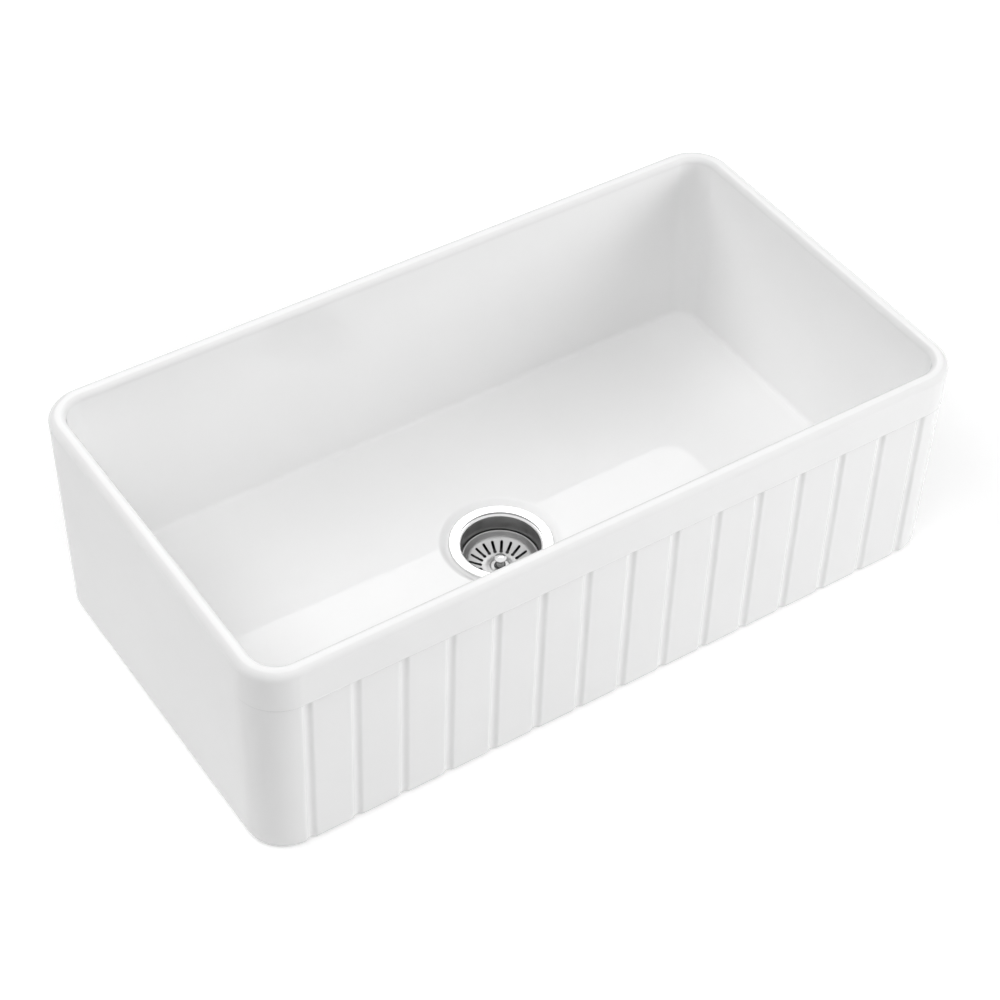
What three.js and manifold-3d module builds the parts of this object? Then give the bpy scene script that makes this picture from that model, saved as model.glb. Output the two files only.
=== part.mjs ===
// A farmhouse kitchen sink: a white glazed fireclay basin with a fluted apron front, and the basket
// strainer clamped into its drain hole, with the basket's pull-up stopper and the outlet below.
// Millimetres, +Z up. The origin is the middle of the basin's underside, +X runs to the right along the
// apron and the apron faces -Y.
import * as THREE from 'three';
import { mergeVertices } from 'three/addons/utils/BufferGeometryUtils.js';
import Module from 'manifold-3d';

const wasm = await Module();
wasm.setup();

// ---- Driving sizes of the basin ----
const basinWidth = 838;
const basinDepth = 457;
const basinHeight = 254;
const wallThickness = 18; // at the rim
const cornerRadius = 46; // outside, seen from above
const rimOuterRound = 8;
const rimInnerRound = 6;
const footRound = 9;
const sideDraft = 3; // how far a face leans in between rim and foot
const frontDraft = 1;
const backDraft = 8;
const innerDraft = 2.5;
const floorFillet = 10;
const floorEdgeHeight = 31; // floor surface along the walls, above the underside
const dishLipHeight = 28.2; // floor surface round the shallow dish that holds the drain
const dishLipRadius = 70;
const seatRadius = 61;
const seatHeight = 23.7; // flat ring of the dish that carries the strainer's flange
const groundRadius = 62; // ring ground flat on the underside, for the strainer's gasket
const groundDepth = 1;

// ---- Driving sizes of the fluted apron ----
const bandHeight = 48; // plain band under the rim
const bandEdgeRise = 2.2; // height over which the band's lower edge rolls in to the flutes
const panelRecess = 3.2; // the fluted field lies this far behind the band
const grooveCount = 15;
const grooveEndInset = 5.5; // from the end of the flat front to the middle of the outermost groove
const grooveDepth = 2.5;
const grooveWidth = 16;

// ---- Driving sizes of the strainer ----
const fitGap = 0.3; // left between pieces that seat on or pass through each other
const drainHoleRadius = 46;
const holeEdgeRound = 5;
const flangeRadius = 57;
const flangeEdgeRound = 1.2;
const sealThickness = 1.4;
const sealWidth = 4;
const sheet = 1.3; // thickness of the pressed steel
const cupRadius = 43.4; // inside
const mouthFlare = 3.4; // how much wider the mouth is than the cup, at the flange
const mouthDepth = 4.2; // height of the flared mouth
const mouthStep = 0.7; // the flange drops by this before the mouth rolls over into the cup
const ledgeDepth = 25.9; // from the flange's top down to the ledge that carries the basket
const ledgeReach = 2.4; // how far the ledge stands into the cup
const ledgeHeight = 4.6;
const ledgeNose = 0.6; // rounding of the ledge's inner edge
const cupDepth = 56.2; // from the flange's top to the bottom of the cup
const cupCornerRadius = 8;
const stopperSeatRadius = 27.5;
const stopperSeatDrop = 4;
const outletRadius = 21.4; // inside
const outletLength = 19;
const crossbarWidth = 3;
const crossbarHeight = 4;
const crossbarClearance = 1.2; // under the stopper's post

// ---- Driving sizes of the clamping stack and the outlet ----
const gasketThickness = 3;
const gasketWidth = 11;
const frictionThickness = 1.2;
const frictionWidth = 10;
const lockNutHeight = 12;
const lockNutWall = 6.5;
const lockNutLugs = 6;
const lockNutLugReach = 5;
const lockNutLugWidth = 9;
const lockNutEase = 1.5; // taken off its corners
const tailRadius = 19.05; // outside
const tailWall = 1.1;
const tailLength = 100;
const tailFlangeThickness = 1.4;
const tailWasherThickness = 2;
const couplingOverlap = 13; // how far the coupling nut reaches up the outlet
const couplingWall = 4.2;
const couplingLip = 3;
const couplingRibs = 8;
const couplingRibReach = 1.6;

// ---- Driving sizes of the basket and its stopper ----
const basketSheet = 1;
const basketClearance = 0.8; // round the basket's rim, in the cup
const basketRollRadius = 1.3; // of the rolled rim
const basketDishDepth = 13.6; // from the rim's top to the flat floor of the basket
const slotCount = 20;
const slotInnerRadius = 19.8;
const slotOuterRadius = 34.6;
const slotRise = 5; // of the dish, from the slots' inner ends to their outer ends
const slotWidth = 2.9;
const slotEyeRadius = 1.9; // the round inner end of each keyhole slot
const hubRise = 0.9; // the middle of the basket floor stands up by this
const hubRadius = 12;
const hubSlope = 2.3; // run of the slope up to the hub
const postRadius = 2.4;
const bushBodyRadius = 5;
const bushLobes = 3;
const bushLobeRadius = 6.7; // at the tip of a lobe
const bushWaistRadius = 5.8; // between two lobes
const bushFlangeThickness = 1.3;
const retainerRadius = 7.7;
const retainerThickness = 1.2;
const ringSection = 1.1; // cross-section of the friction ring in the bush
const knobRadius = 7;
const knobCapThickness = 3;
const knobEdgeRound = 1.2;
const knobFootRadius = 4.6;
const knobWaistRadius = 3.7;
const knobHeight = 11.6;
const stopperTravel = 8;
const collarReach = 2.4; // how far the post's collar stands out
const collarThickness = 1.2;
const plateRadius = 20;
const plateThickness = 1.3;
const plateEase = 0.4; // taken off its edges
const rubberInset = 1.2; // of the rubber's rim from the edge of its seat
const rubberRimThickness = 2.6;
const rubberLip = 0.6; // rounding of the rubber's upper edge
const stopperNutRadius = 5.2; // to its corners
const stopperNutHeight = 3;
const postEnd = 1; // post standing out under its nut

// ---- Heights that follow from the sizes ----
const flangeFoot = seatHeight + fitGap;
const flangeTop = flangeFoot + sealThickness + fitGap + sheet;
const ledgeTop = flangeTop - ledgeDepth;
const cupBottom = flangeTop - cupDepth;
const stopperSeatFoot = cupBottom - stopperSeatDrop;
const outletEnd = stopperSeatFoot - outletLength;
const basketRimTop = ledgeTop + fitGap + 2 * basketRollRadius;
const basketFloor = basketRimTop - basketDishDepth;
const hubTop = basketFloor + hubRise;
const bushTop = hubTop + fitGap + bushFlangeThickness;
const knobFoot = bushTop + fitGap;
const knobTop = knobFoot + knobHeight;
const shankRadius = cupRadius + sheet;
const stubRadius = outletRadius + sheet;

// ---- The stopper's stack, from its seat in the cup upwards and downwards ----
const seatSlope = stopperSeatDrop / (stopperSeatRadius - outletRadius);
const rubberRadius = stopperSeatRadius - rubberInset;
const rubberFootRadius = outletRadius - fitGap;
const rubberEdge = cupBottom - rubberInset * seatSlope + fitGap * Math.hypot(1, seatSlope);
const rubberTop = rubberEdge + rubberRimThickness;
const rubberFoot = rubberEdge - (rubberRadius - rubberFootRadius) * seatSlope;
const plateFoot = rubberTop + fitGap;
const plateTop = plateFoot + plateThickness;
const collarFoot = plateTop + fitGap;
const collarTop = collarFoot + collarThickness;
const stopperNutTop = rubberFoot - fitGap;
const postFoot = stopperNutTop - stopperNutHeight - postEnd;
const threadBore = postRadius + fitGap;
const bushFoot = collarTop + stopperTravel + fitGap;

// ---- Steps that set how finely curves are cut ----
const basketSegments = 2 * slotCount;
const wideSegments = 28; // all that is wider than the stopper's knob
const mediumSegments = 24;
const smallSegments = 12;
const arcSteps = 3;
const edgeSteps = 2;
const cornerSteps = 5;
const grooveSteps = 7;
const frontSteps = 11; // between two corners of the bowl, along its front or back
const sideSteps = 5;
const floorSteps = 3;
const stepsPerRib = 6;
const ringSides = 8;
const nutSides = 6;
const weldDistance = 1e-4;
const cutterReach = 10; // how far a cutter runs past the faces that it cuts

const finishes = {
  fireclay: { color: 0xf3f3f2, roughness: 0.08, metalness: 0 },
  polishedSteel: { color: 0xc9cbcd, roughness: 0.12, metalness: 1 },
  brushedSteel: { color: 0xb4b6b8, roughness: 0.32, metalness: 1 },
  castMetal: { color: 0x9b9c9c, roughness: 0.5, metalness: 0.9 },
  brass: { color: 0xb99a5b, roughness: 0.35, metalness: 1 },
  blackRubber: { color: 0x1d1d1e, roughness: 0.8, metalness: 0 },
  whiteRubber: { color: 0xd8d7d2, roughness: 0.7, metalness: 0 },
  fibre: { color: 0x8c7355, roughness: 0.9, metalness: 0 },
  nylon: { color: 0x3a3b3d, roughness: 0.5, metalness: 0 },
};

// ---- Geometry helpers ----

// Welds shared corners and leaves out triangles without area, such as a lathe's at its poles.
function toSolid(geometry) {
  geometry.deleteAttribute('normal');
  geometry.deleteAttribute('uv');
  const merged = mergeVertices(geometry, weldDistance);
  const corners = merged.index.array;
  const kept = [];
  for (let i = 0; i < corners.length; i += 3) {
    const triangle = [corners[i], corners[i + 1], corners[i + 2]];
    if (new Set(triangle).size === 3) {
      kept.push(...triangle);
    }
  }
  const triVerts = new Uint32Array(kept);
  const vertProperties = new Float32Array(merged.attributes.position.array);
  return new wasm.Manifold(new wasm.Mesh({ numProp: 3, vertProperties, triVerts }));
}

function fromSolid(solid) {
  const { vertProperties, triVerts } = solid.getMesh();
  const geometry = new THREE.BufferGeometry();
  geometry.setAttribute('position', new THREE.BufferAttribute(new Float32Array(vertProperties), 3));
  geometry.setIndex(new THREE.BufferAttribute(new Uint32Array(triVerts), 1));
  geometry.computeVertexNormals();
  return geometry;
}

function piece(name, solid, finish) {
  const mesh = new THREE.Mesh(fromSolid(solid), new THREE.MeshStandardMaterial(finishes[finish]));
  mesh.name = name;
  return mesh;
}

function mix(a, b, t) {
  return a + (b - a) * t;
}

// Twice the area inside a closed line of [r, z] points, positive when it runs counter-clockwise.
function signedArea(points) {
  return points.reduce((sum, [r, z], i) => {
    const [nextR, nextZ] = points[(i + 1) % points.length];
    return sum + r * nextZ - nextR * z;
  }, 0);
}

// Turns a closed [r, z] outline about the Z axis.
function revolve(outline, segments, start = 0) {
  const ordered = signedArea(outline) > 0 ? outline : [...outline].reverse();
  const closed = [...ordered, ordered[0]].map(([r, z]) => new THREE.Vector2(r, z));
  return toSolid(new THREE.LatheGeometry(closed, segments, start).rotateX(Math.PI / 2));
}

function ringOutline(innerRadius, outerRadius, low, high) {
  return [[innerRadius, low], [outerRadius, low], [outerRadius, high], [innerRadius, high]];
}

// A washer with its outer edges eased.
function washerOutline(innerRadius, outerRadius, low, high, ease) {
  return [
    [innerRadius, low],
    [outerRadius - ease, low],
    [outerRadius, low + ease],
    [outerRadius, high - ease],
    [outerRadius - ease, high],
    [innerRadius, high],
  ];
}

function arc(centreR, centreZ, radius, startDegrees, endDegrees, steps) {
  const points = [];
  for (let i = 0; i <= steps; i += 1) {
    const angle = THREE.MathUtils.degToRad(mix(startDegrees, endDegrees, i / steps));
    points.push([centreR + radius * Math.cos(angle), centreZ + radius * Math.sin(angle)]);
  }
  return points;
}

// Gives an open [r, z] line a thickness on its left-hand side and closes it.
function thicken(line, thickness) {
  const leftNormal = (a, b) => new THREE.Vector2(a[1] - b[1], b[0] - a[0]).normalize();
  const last = line.length - 1;
  const offset = line.map(([r, z], i) => {
    const before = leftNormal(line[Math.max(i, 1) - 1], line[Math.max(i, 1)]);
    const after = leftNormal(line[Math.min(i, last - 1)], line[Math.min(i, last - 1) + 1]);
    const mitre = before.clone().add(after).normalize();
    mitre.multiplyScalar(thickness / mitre.dot(before));
    return [r + mitre.x, z + mitre.y];
  });
  return [...line, ...offset.reverse()];
}

// Skins a stack of rings, each the same number of [x, y, z] points, and closes both ends with a fan.
function skin(rings) {
  const count = rings[0].length;
  const positions = rings.flat(2);
  const index = [];
  for (let k = 0; k + 1 < rings.length; k += 1) {
    for (let i = 0; i < count; i += 1) {
      const j = (i + 1) % count;
      const [a, b, c, d] = [k * count + i, k * count + j, (k + 1) * count + j, (k + 1) * count + i];
      index.push(a, b, c, a, c, d);
    }
  }
  const lowCentre = positions.length / 3;
  positions.push(0, 0, rings[0][0][2]);
  positions.push(0, 0, rings.at(-1)[0][2]);
  const top = (rings.length - 1) * count;
  for (let i = 0; i < count; i += 1) {
    const j = (i + 1) % count;
    index.push(lowCentre, j, i);
    index.push(lowCentre + 1, top + i, top + j);
  }
  const geometry = new THREE.BufferGeometry();
  geometry.setAttribute('position', new THREE.Float32BufferAttribute(positions, 3));
  geometry.setIndex(index);
  return toSolid(geometry);
}

// ---- Basin ----

const flatHalf = basinWidth / 2 - cornerRadius;
const outerGroove = flatHalf - grooveEndInset;
const groovePitch = (2 * outerGroove) / (grooveCount - 1);

// Depth of a groove at a distance from its middle: one soft wave, as a casting mould leaves it.
function grooveProfile(distance) {
  return (grooveDepth * (1 + Math.cos((2 * Math.PI * distance) / grooveWidth))) / 2;
}

// Places along the apron, left to right, where the fluted front needs a point.
function fluteStations() {
  const stations = [];
  for (let i = 0; i < grooveCount; i += 1) {
    const middle = -outerGroove + i * groovePitch;
    for (let k = 0; k <= grooveSteps; k += 1) {
      stations.push({ x: middle + grooveWidth * (k / grooveSteps - 0.5), middle });
    }
  }
  return stations;
}

const stations = fluteStations();
const fluteReach = outerGroove + grooveWidth / 2;

// The basin's outside at a height, drawn in by an inset. fluting is 1 on the fluted field and 0 on the band.
function outsideRing(z, inset, fluting) {
  const lean = 1 - z / basinHeight;
  const halfWidth = basinWidth / 2 - sideDraft * lean - inset;
  const front = basinDepth / 2 - frontDraft * lean - inset;
  const back = basinDepth / 2 - backDraft * lean - inset;
  const radius = cornerRadius - inset;
  const straight = halfWidth - radius;
  const turned = Math.asin(THREE.MathUtils.clamp((fluteReach - straight) / radius, 0, 1));
  const ring = [];
  const addCorner = (sideX, centreY, start, end) => {
    for (let i = 0; i <= cornerSteps; i += 1) {
      const angle = mix(start, end, i / cornerSteps);
      const shift = centreY < 0 ? fluting * panelRecess * Math.max(-Math.sin(angle), 0) : 0;
      const x = sideX * straight + radius * Math.cos(angle);
      ring.push([x, centreY + radius * Math.sin(angle) + shift, z]);
    }
  };
  addCorner(1, back - radius, 0, Math.PI / 2);
  addCorner(-1, back - radius, Math.PI / 2, Math.PI);
  addCorner(-1, radius - front, Math.PI, 1.5 * Math.PI - turned);
  for (const { x, middle } of stations) {
    const past = Math.max(Math.abs(x) - straight, 0) / radius;
    const facing = Math.sqrt(1 - past * past);
    const surface = radius - front - radius * facing;
    ring.push([x, surface + fluting * (panelRecess * facing + grooveProfile(x - middle)), z]);
  }
  addCorner(1, radius - front, 1.5 * Math.PI + turned, 2 * Math.PI);
  return dropRepeats(ring);
}

// The arcs meet the outermost grooves at the same place, so the doubled points there are left out.
function dropRepeats(ring) {
  const cornerPoints = cornerSteps + 1;
  const beforeFront = 3 * cornerPoints;
  const afterFront = beforeFront + stations.length - 1;
  return ring.filter((_, i) => i !== beforeFront && i !== afterFront);
}

function outsideSolid() {
  const bandFoot = basinHeight - bandHeight;
  const deepest = panelRecess + grooveDepth;
  const rings = [outsideRing(0, footRound + 2 * deepest, 0)];
  for (let i = 0; i <= arcSteps; i += 1) {
    const turn = (i / arcSteps) * (Math.PI / 2);
    rings.push(outsideRing(footRound * (1 - Math.cos(turn)), footRound * (1 - Math.sin(turn)), 1));
  }
  rings.push(outsideRing(bandFoot, 0, 1));
  for (let i = 1; i <= edgeSteps; i += 1) {
    const turn = (i / edgeSteps) * (Math.PI / 2);
    rings.push(outsideRing(bandFoot + bandEdgeRise * (1 - Math.cos(turn)), 0, 1 - Math.sin(turn)));
  }
  for (let i = 0; i <= arcSteps; i += 1) {
    const turn = (i / arcSteps) * (Math.PI / 2);
    const height = basinHeight - rimOuterRound * (1 - Math.sin(turn));
    rings.push(outsideRing(height, rimOuterRound * (1 - Math.cos(turn)), 0));
  }
  return skin(rings);
}

// The inside of the walls at a height, drawn in by an inset. Long sides carry points at even angles about
// the drain, so that the floor can run out of the rectangle into the round dish.
function insideOutline(z, inset) {
  const lean = (innerDraft * (basinHeight - z)) / (basinHeight - floorEdgeHeight);
  const drawn = wallThickness + lean + inset;
  const halfX = basinWidth / 2 - drawn;
  const halfY = basinDepth / 2 - drawn;
  const radius = cornerRadius - wallThickness - inset;
  const corner = (sideX, sideY, start) => {
    const points = [];
    for (let i = 0; i <= cornerSteps; i += 1) {
      const angle = start + (i / cornerSteps) * (Math.PI / 2);
      const x = sideX * (halfX - radius) + radius * Math.cos(angle);
      points.push([x, sideY * (halfY - radius) + radius * Math.sin(angle)]);
    }
    return points;
  };
  const spread = Math.atan2(halfY, halfX);
  const along = (from, to, steps, place) => {
    const points = [];
    for (let i = 1; i < steps; i += 1) {
      points.push(place(mix(from, to, i / steps)));
    }
    return points;
  };
  const right = (angle) => [halfX, halfX * Math.tan(angle)];
  const back = (angle) => [halfY / Math.tan(angle), halfY];
  const left = (angle) => [-halfX, -halfX * Math.tan(angle)];
  const front = (angle) => [-halfY / Math.tan(angle), -halfY];
  return [
    ...corner(1, 1, 0),
    ...along(spread, Math.PI - spread, frontSteps, back),
    ...corner(-1, 1, Math.PI / 2),
    ...along(Math.PI - spread, Math.PI + spread, sideSteps, left),
    ...corner(-1, -1, Math.PI),
    ...along(Math.PI + spread, 2 * Math.PI - spread, frontSteps, front),
    ...corner(1, -1, 1.5 * Math.PI),
    ...along(-spread, spread, sideSteps, right),
  ];
}

function raise(outline, z) {
  return outline.map(([x, y]) => [x, y, z]);
}

// The hollow of the bowl, from above the rim down to the drain's seat.
function bowlSolid() {
  const rings = [];
  rings.push(raise(insideOutline(basinHeight, -rimInnerRound), basinHeight + cutterReach));
  for (let i = 0; i <= arcSteps; i += 1) {
    const turn = (i / arcSteps) * (Math.PI / 2);
    const height = basinHeight - rimInnerRound * (1 - Math.cos(turn));
    rings.push(raise(insideOutline(basinHeight, -rimInnerRound * (1 - Math.sin(turn))), height));
  }
  for (let i = 0; i <= arcSteps; i += 1) {
    const turn = (i / arcSteps) * (Math.PI / 2);
    const height = floorEdgeHeight + floorFillet * (1 - Math.sin(turn));
    rings.push(raise(insideOutline(floorEdgeHeight, floorFillet * (1 - Math.cos(turn))), height));
  }
  const floorEdge = insideOutline(floorEdgeHeight, floorFillet);
  const round = (radius) => floorEdge.map(([x, y]) => {
    const length = Math.hypot(x, y);
    return [(x / length) * radius, (y / length) * radius];
  });
  const lip = round(dishLipRadius);
  for (let k = 1; k < floorSteps; k += 1) {
    const t = k / floorSteps;
    const between = floorEdge.map(([x, y], i) => [mix(x, lip[i][0], t), mix(y, lip[i][1], t)]);
    rings.push(raise(between, mix(floorEdgeHeight, dishLipHeight, t)));
  }
  for (let i = 0; i <= arcSteps; i += 1) {
    const t = i / arcSteps;
    const fall = (1 - Math.cos(Math.PI * t)) / 2;
    rings.push(raise(round(mix(dishLipRadius, seatRadius, t)), mix(dishLipHeight, seatHeight, fall)));
  }
  return skin(rings.reverse());
}

// The drain hole, with the rounded edge that the strainer's mouth sinks into and the ring ground below it.
function drainHoleSolid() {
  return revolve([
    [0, -cutterReach],
    [groundRadius, -cutterReach],
    [groundRadius, groundDepth],
    [drainHoleRadius, groundDepth],
    ...arc(drainHoleRadius + holeEdgeRound, seatHeight - holeEdgeRound, holeEdgeRound, 180, 90, arcSteps),
    [drainHoleRadius + holeEdgeRound, seatHeight + cutterReach],
    [0, seatHeight + cutterReach],
  ], wideSegments);
}

function basin() {
  return outsideSolid().subtract(bowlSolid()).subtract(drainHoleSolid());
}

// ---- Strainer body, fixed in the drain hole ----

// The upper and inner face of the strainer, from the flange's edge down to the end of the outlet.
function cupLine() {
  const mouth = [[cupRadius + mouthFlare, flangeTop]];
  for (let i = 0; i <= arcSteps; i += 1) {
    const turn = (i / arcSteps) * (Math.PI / 2);
    const fall = mouthStep + (mouthDepth - mouthStep) * (1 - Math.cos(turn));
    mouth.push([cupRadius + mouthFlare * (1 - Math.sin(turn)), flangeTop - fall]);
  }
  const edge = flangeRadius - flangeEdgeRound;
  return [
    [flangeRadius, flangeFoot],
    ...arc(edge, flangeTop - flangeEdgeRound, flangeEdgeRound, 0, 90, edgeSteps),
    ...mouth,
    ...arc(cupRadius - cupCornerRadius, cupBottom + cupCornerRadius, cupCornerRadius, 0, -90, arcSteps),
    [stopperSeatRadius, cupBottom],
    [outletRadius, stopperSeatFoot],
    [outletRadius, outletEnd],
  ];
}

// The ledge inside the cup that the basket's rim sits on.
function ledge() {
  const wall = cupRadius + sheet / 2;
  const nose = cupRadius - ledgeReach;
  return revolve([
    [wall, ledgeTop],
    [nose + ledgeNose, ledgeTop],
    [nose, ledgeTop - ledgeNose],
    [nose, ledgeTop - ledgeHeight / 2],
    [cupRadius, ledgeTop - ledgeHeight],
    [wall, ledgeTop - ledgeHeight],
  ], wideSegments);
}

// The cross in the outlet that keeps cutlery out of the drain.
function crossbars() {
  const top = postFoot - crossbarClearance;
  const length = 2 * outletRadius + sheet;
  const bar = new THREE.BoxGeometry(length, crossbarWidth, crossbarHeight);
  bar.translate(0, 0, top - crossbarHeight / 2);
  const crossing = bar.clone().rotateZ(Math.PI / 2);
  return toSolid(bar).add(toSolid(crossing));
}

function strainerBody() {
  return revolve(thicken(cupLine(), sheet), wideSegments).add(ledge()).add(crossbars());
}

function flangeSeal() {
  const outer = flangeRadius - sheet - fitGap;
  const low = seatHeight + fitGap;
  return revolve(ringOutline(outer - sealWidth, outer, low, low + sealThickness), wideSegments);
}

// ---- Clamping stack under the basin ----

const stackRadius = shankRadius + fitGap;
const gasketFoot = groundDepth - fitGap - gasketThickness;
const frictionFoot = gasketFoot - fitGap - frictionThickness;
const lockNutTop = frictionFoot - fitGap;

function underGasket() {
  const outer = stackRadius + gasketWidth;
  return revolve(ringOutline(stackRadius, outer, gasketFoot, gasketFoot + gasketThickness), wideSegments);
}

function frictionWasher() {
  const outer = stackRadius + frictionWidth;
  const top = frictionFoot + frictionThickness;
  return revolve(ringOutline(stackRadius, outer, frictionFoot, top), wideSegments);
}

// An extruded outline between two heights, from a function that gives its radius at each angle.
function ribbedDisc(radiusAt, steps, low, high) {
  const shape = new THREE.Shape();
  for (let i = 0; i < steps; i += 1) {
    const angle = (i / steps) * 2 * Math.PI;
    const radius = radiusAt(angle);
    const [x, y] = [radius * Math.cos(angle), radius * Math.sin(angle)];
    if (i === 0) {
      shape.moveTo(x, y);
    } else {
      shape.lineTo(x, y);
    }
  }
  shape.closePath();
  const geometry = new THREE.ExtrudeGeometry(shape, { depth: high - low, bevelEnabled: false });
  return toSolid(geometry.translate(0, 0, low));
}

function lockNut() {
  const outer = stackRadius + lockNutWall;
  const foot = lockNutTop - lockNutHeight;
  let nut = revolve(washerOutline(stackRadius, outer, foot, lockNutTop, lockNutEase), wideSegments);
  const rooted = lockNutWall / 2; // how far a lug runs into the nut's wall
  const lugHeight = lockNutHeight - 2 * lockNutEase;
  for (let i = 0; i < lockNutLugs; i += 1) {
    const lug = new THREE.BoxGeometry(rooted + lockNutLugReach, lockNutLugWidth, lugHeight);
    lug.translate(outer + (lockNutLugReach - rooted) / 2, 0, (lockNutTop + foot) / 2);
    nut = nut.add(toSolid(lug.rotateZ((i / lockNutLugs) * 2 * Math.PI)));
  }
  return nut;
}

// ---- Outlet: washer, tailpiece and coupling nut ----

const washerFoot = outletEnd - fitGap - tailWasherThickness;
const tailTop = washerFoot - fitGap;
const tailFlangeFoot = tailTop - tailFlangeThickness;

function tailpieceWasher() {
  const top = washerFoot + tailWasherThickness;
  return revolve(ringOutline(tailRadius, stubRadius, washerFoot, top), wideSegments);
}

function tailpiece() {
  const bore = tailRadius - tailWall;
  return revolve([
    [bore, tailTop - tailLength],
    [tailRadius, tailTop - tailLength],
    [tailRadius, tailFlangeFoot],
    [stubRadius, tailFlangeFoot],
    [stubRadius, tailTop],
    [bore, tailTop],
  ], wideSegments);
}

function couplingNut() {
  const bore = stubRadius + fitGap;
  const top = outletEnd + couplingOverlap;
  const shoulder = tailFlangeFoot - fitGap;
  const foot = shoulder - couplingLip;
  const outer = bore + couplingWall;
  const ribs = (angle) => outer + couplingRibReach * Math.max(Math.cos(couplingRibs * angle), 0);
  const body = ribbedDisc(ribs, couplingRibs * stepsPerRib, foot, top);
  const hollow = revolve([
    [0, foot - cutterReach],
    [tailRadius + fitGap, foot - cutterReach],
    [tailRadius + fitGap, shoulder],
    [bore, shoulder],
    [bore, top + cutterReach],
    [0, top + cutterReach],
  ], wideSegments);
  return body.subtract(hollow);
}

// ---- Basket, which lifts out of the cup ----

const basketRadius = cupRadius - basketClearance;

// The upper face of the basket, from its rolled rim in to the hole for the bush.
function basketLine() {
  const rollMiddle = basketRadius - basketRollRadius;
  const roll = arc(rollMiddle, basketRimTop - basketRollRadius, basketRollRadius, -90, 135, arcSteps + 1);
  const wallRadius = cupRadius - ledgeReach - basketClearance - basketSheet;
  const dish = new THREE.SplineCurve([
    new THREE.Vector2(wallRadius, ledgeTop),
    new THREE.Vector2(slotOuterRadius, basketFloor + slotRise),
    new THREE.Vector2(slotInnerRadius, basketFloor),
    new THREE.Vector2(hubRadius, basketFloor),
  ]);
  return [
    ...roll,
    ...dish.getPoints(2 * arcSteps).map(({ x, y }) => [x, y]),
    [hubRadius - hubSlope, hubTop],
    [bushBodyRadius + fitGap, hubTop],
  ];
}

// One keyhole slot, cut straight down through the basket.
function slotSolid() {
  const half = slotWidth / 2;
  const eye = slotInnerRadius + slotEyeRadius;
  const meet = Math.asin(half / slotEyeRadius);
  const shape = new THREE.Shape();
  shape.moveTo(slotOuterRadius - half, half);
  shape.lineTo(eye + slotEyeRadius * Math.cos(meet), half);
  shape.absarc(eye, 0, slotEyeRadius, meet, 2 * Math.PI - meet, false);
  shape.lineTo(slotOuterRadius - half, -half);
  shape.absarc(slotOuterRadius - half, 0, half, -Math.PI / 2, Math.PI / 2, false);
  const depth = 2 * (basketDishDepth + cutterReach);
  const options = { depth, bevelEnabled: false, curveSegments: edgeSteps };
  const geometry = new THREE.ExtrudeGeometry(shape, options);
  return geometry.translate(0, 0, basketFloor - depth / 2);
}

function basketShell() {
  const halfFacet = Math.PI / basketSegments;
  let shell = revolve(thicken(basketLine(), basketSheet), basketSegments, halfFacet);
  for (let i = 0; i < slotCount; i += 1) {
    shell = shell.subtract(toSolid(slotSolid().rotateZ((i / slotCount) * 2 * Math.PI)));
  }
  return shell;
}

const ringMiddle = (hubTop + bushFoot) / 2;

// The bush carries the post. Its lobed head shows under the knob, and a groove inside it holds a ring.
function basketBush() {
  const lobed = (angle) => mix(bushWaistRadius, bushLobeRadius, (1 + Math.sin(bushLobes * angle)) / 2);
  const head = ribbedDisc(lobed, mediumSegments, hubTop + fitGap, bushTop);
  const grooveRadius = threadBore + ringSection + fitGap;
  const grooveHalfHeight = ringSection / 2 + fitGap;
  const bore = revolve([
    [0, bushFoot - cutterReach],
    [threadBore, bushFoot - cutterReach],
    [threadBore, ringMiddle - grooveHalfHeight],
    [grooveRadius, ringMiddle - grooveHalfHeight],
    [grooveRadius, ringMiddle + grooveHalfHeight],
    [threadBore, ringMiddle + grooveHalfHeight],
    [threadBore, bushTop + cutterReach],
    [0, bushTop + cutterReach],
  ], smallSegments);
  const body = revolve([
    [0, bushFoot],
    [bushBodyRadius, bushFoot],
    [bushBodyRadius, bushTop - bushFlangeThickness / 2],
    [0, bushTop - bushFlangeThickness / 2],
  ], smallSegments);
  return head.add(body).subtract(bore);
}

function bushRetainer() {
  const top = hubTop - basketSheet - fitGap;
  const bore = bushBodyRadius + fitGap;
  return revolve(ringOutline(bore, retainerRadius, top - retainerThickness, top), smallSegments);
}

// The rubber ring that grips the post, so that a raised stopper stays up.
function frictionRing() {
  const radius = ringSection / 2;
  const lastCorner = 360 - 360 / ringSides;
  return revolve(arc(threadBore + radius, ringMiddle, radius, 0, lastCorner, ringSides - 1), smallSegments);
}

// ---- Pull-up stopper, which slides in the basket's bush ----

// The knob: a round-edged cap with a slight crown, on a waisted neck that is bored for the post.
function knob() {
  const socketTop = knobTop - knobCapThickness;
  const flat = knobRadius - knobEdgeRound;
  const neck = new THREE.SplineCurve([
    new THREE.Vector2(knobFootRadius, knobFoot),
    new THREE.Vector2(knobWaistRadius, (knobFoot + socketTop) / 2),
    new THREE.Vector2(flat, socketTop),
  ]);
  const crown = knobCapThickness - 2 * knobEdgeRound;
  return revolve([
    [0, socketTop],
    [threadBore, socketTop],
    [threadBore, knobFoot],
    ...neck.getPoints(arcSteps).slice(0, -1).map(({ x, y }) => [x, y]),
    ...arc(flat, socketTop + knobEdgeRound, knobEdgeRound, -90, 90, arcSteps),
    [flat / 2, knobTop - crown / 4],
    [0, knobTop],
  ], mediumSegments);
}

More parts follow.
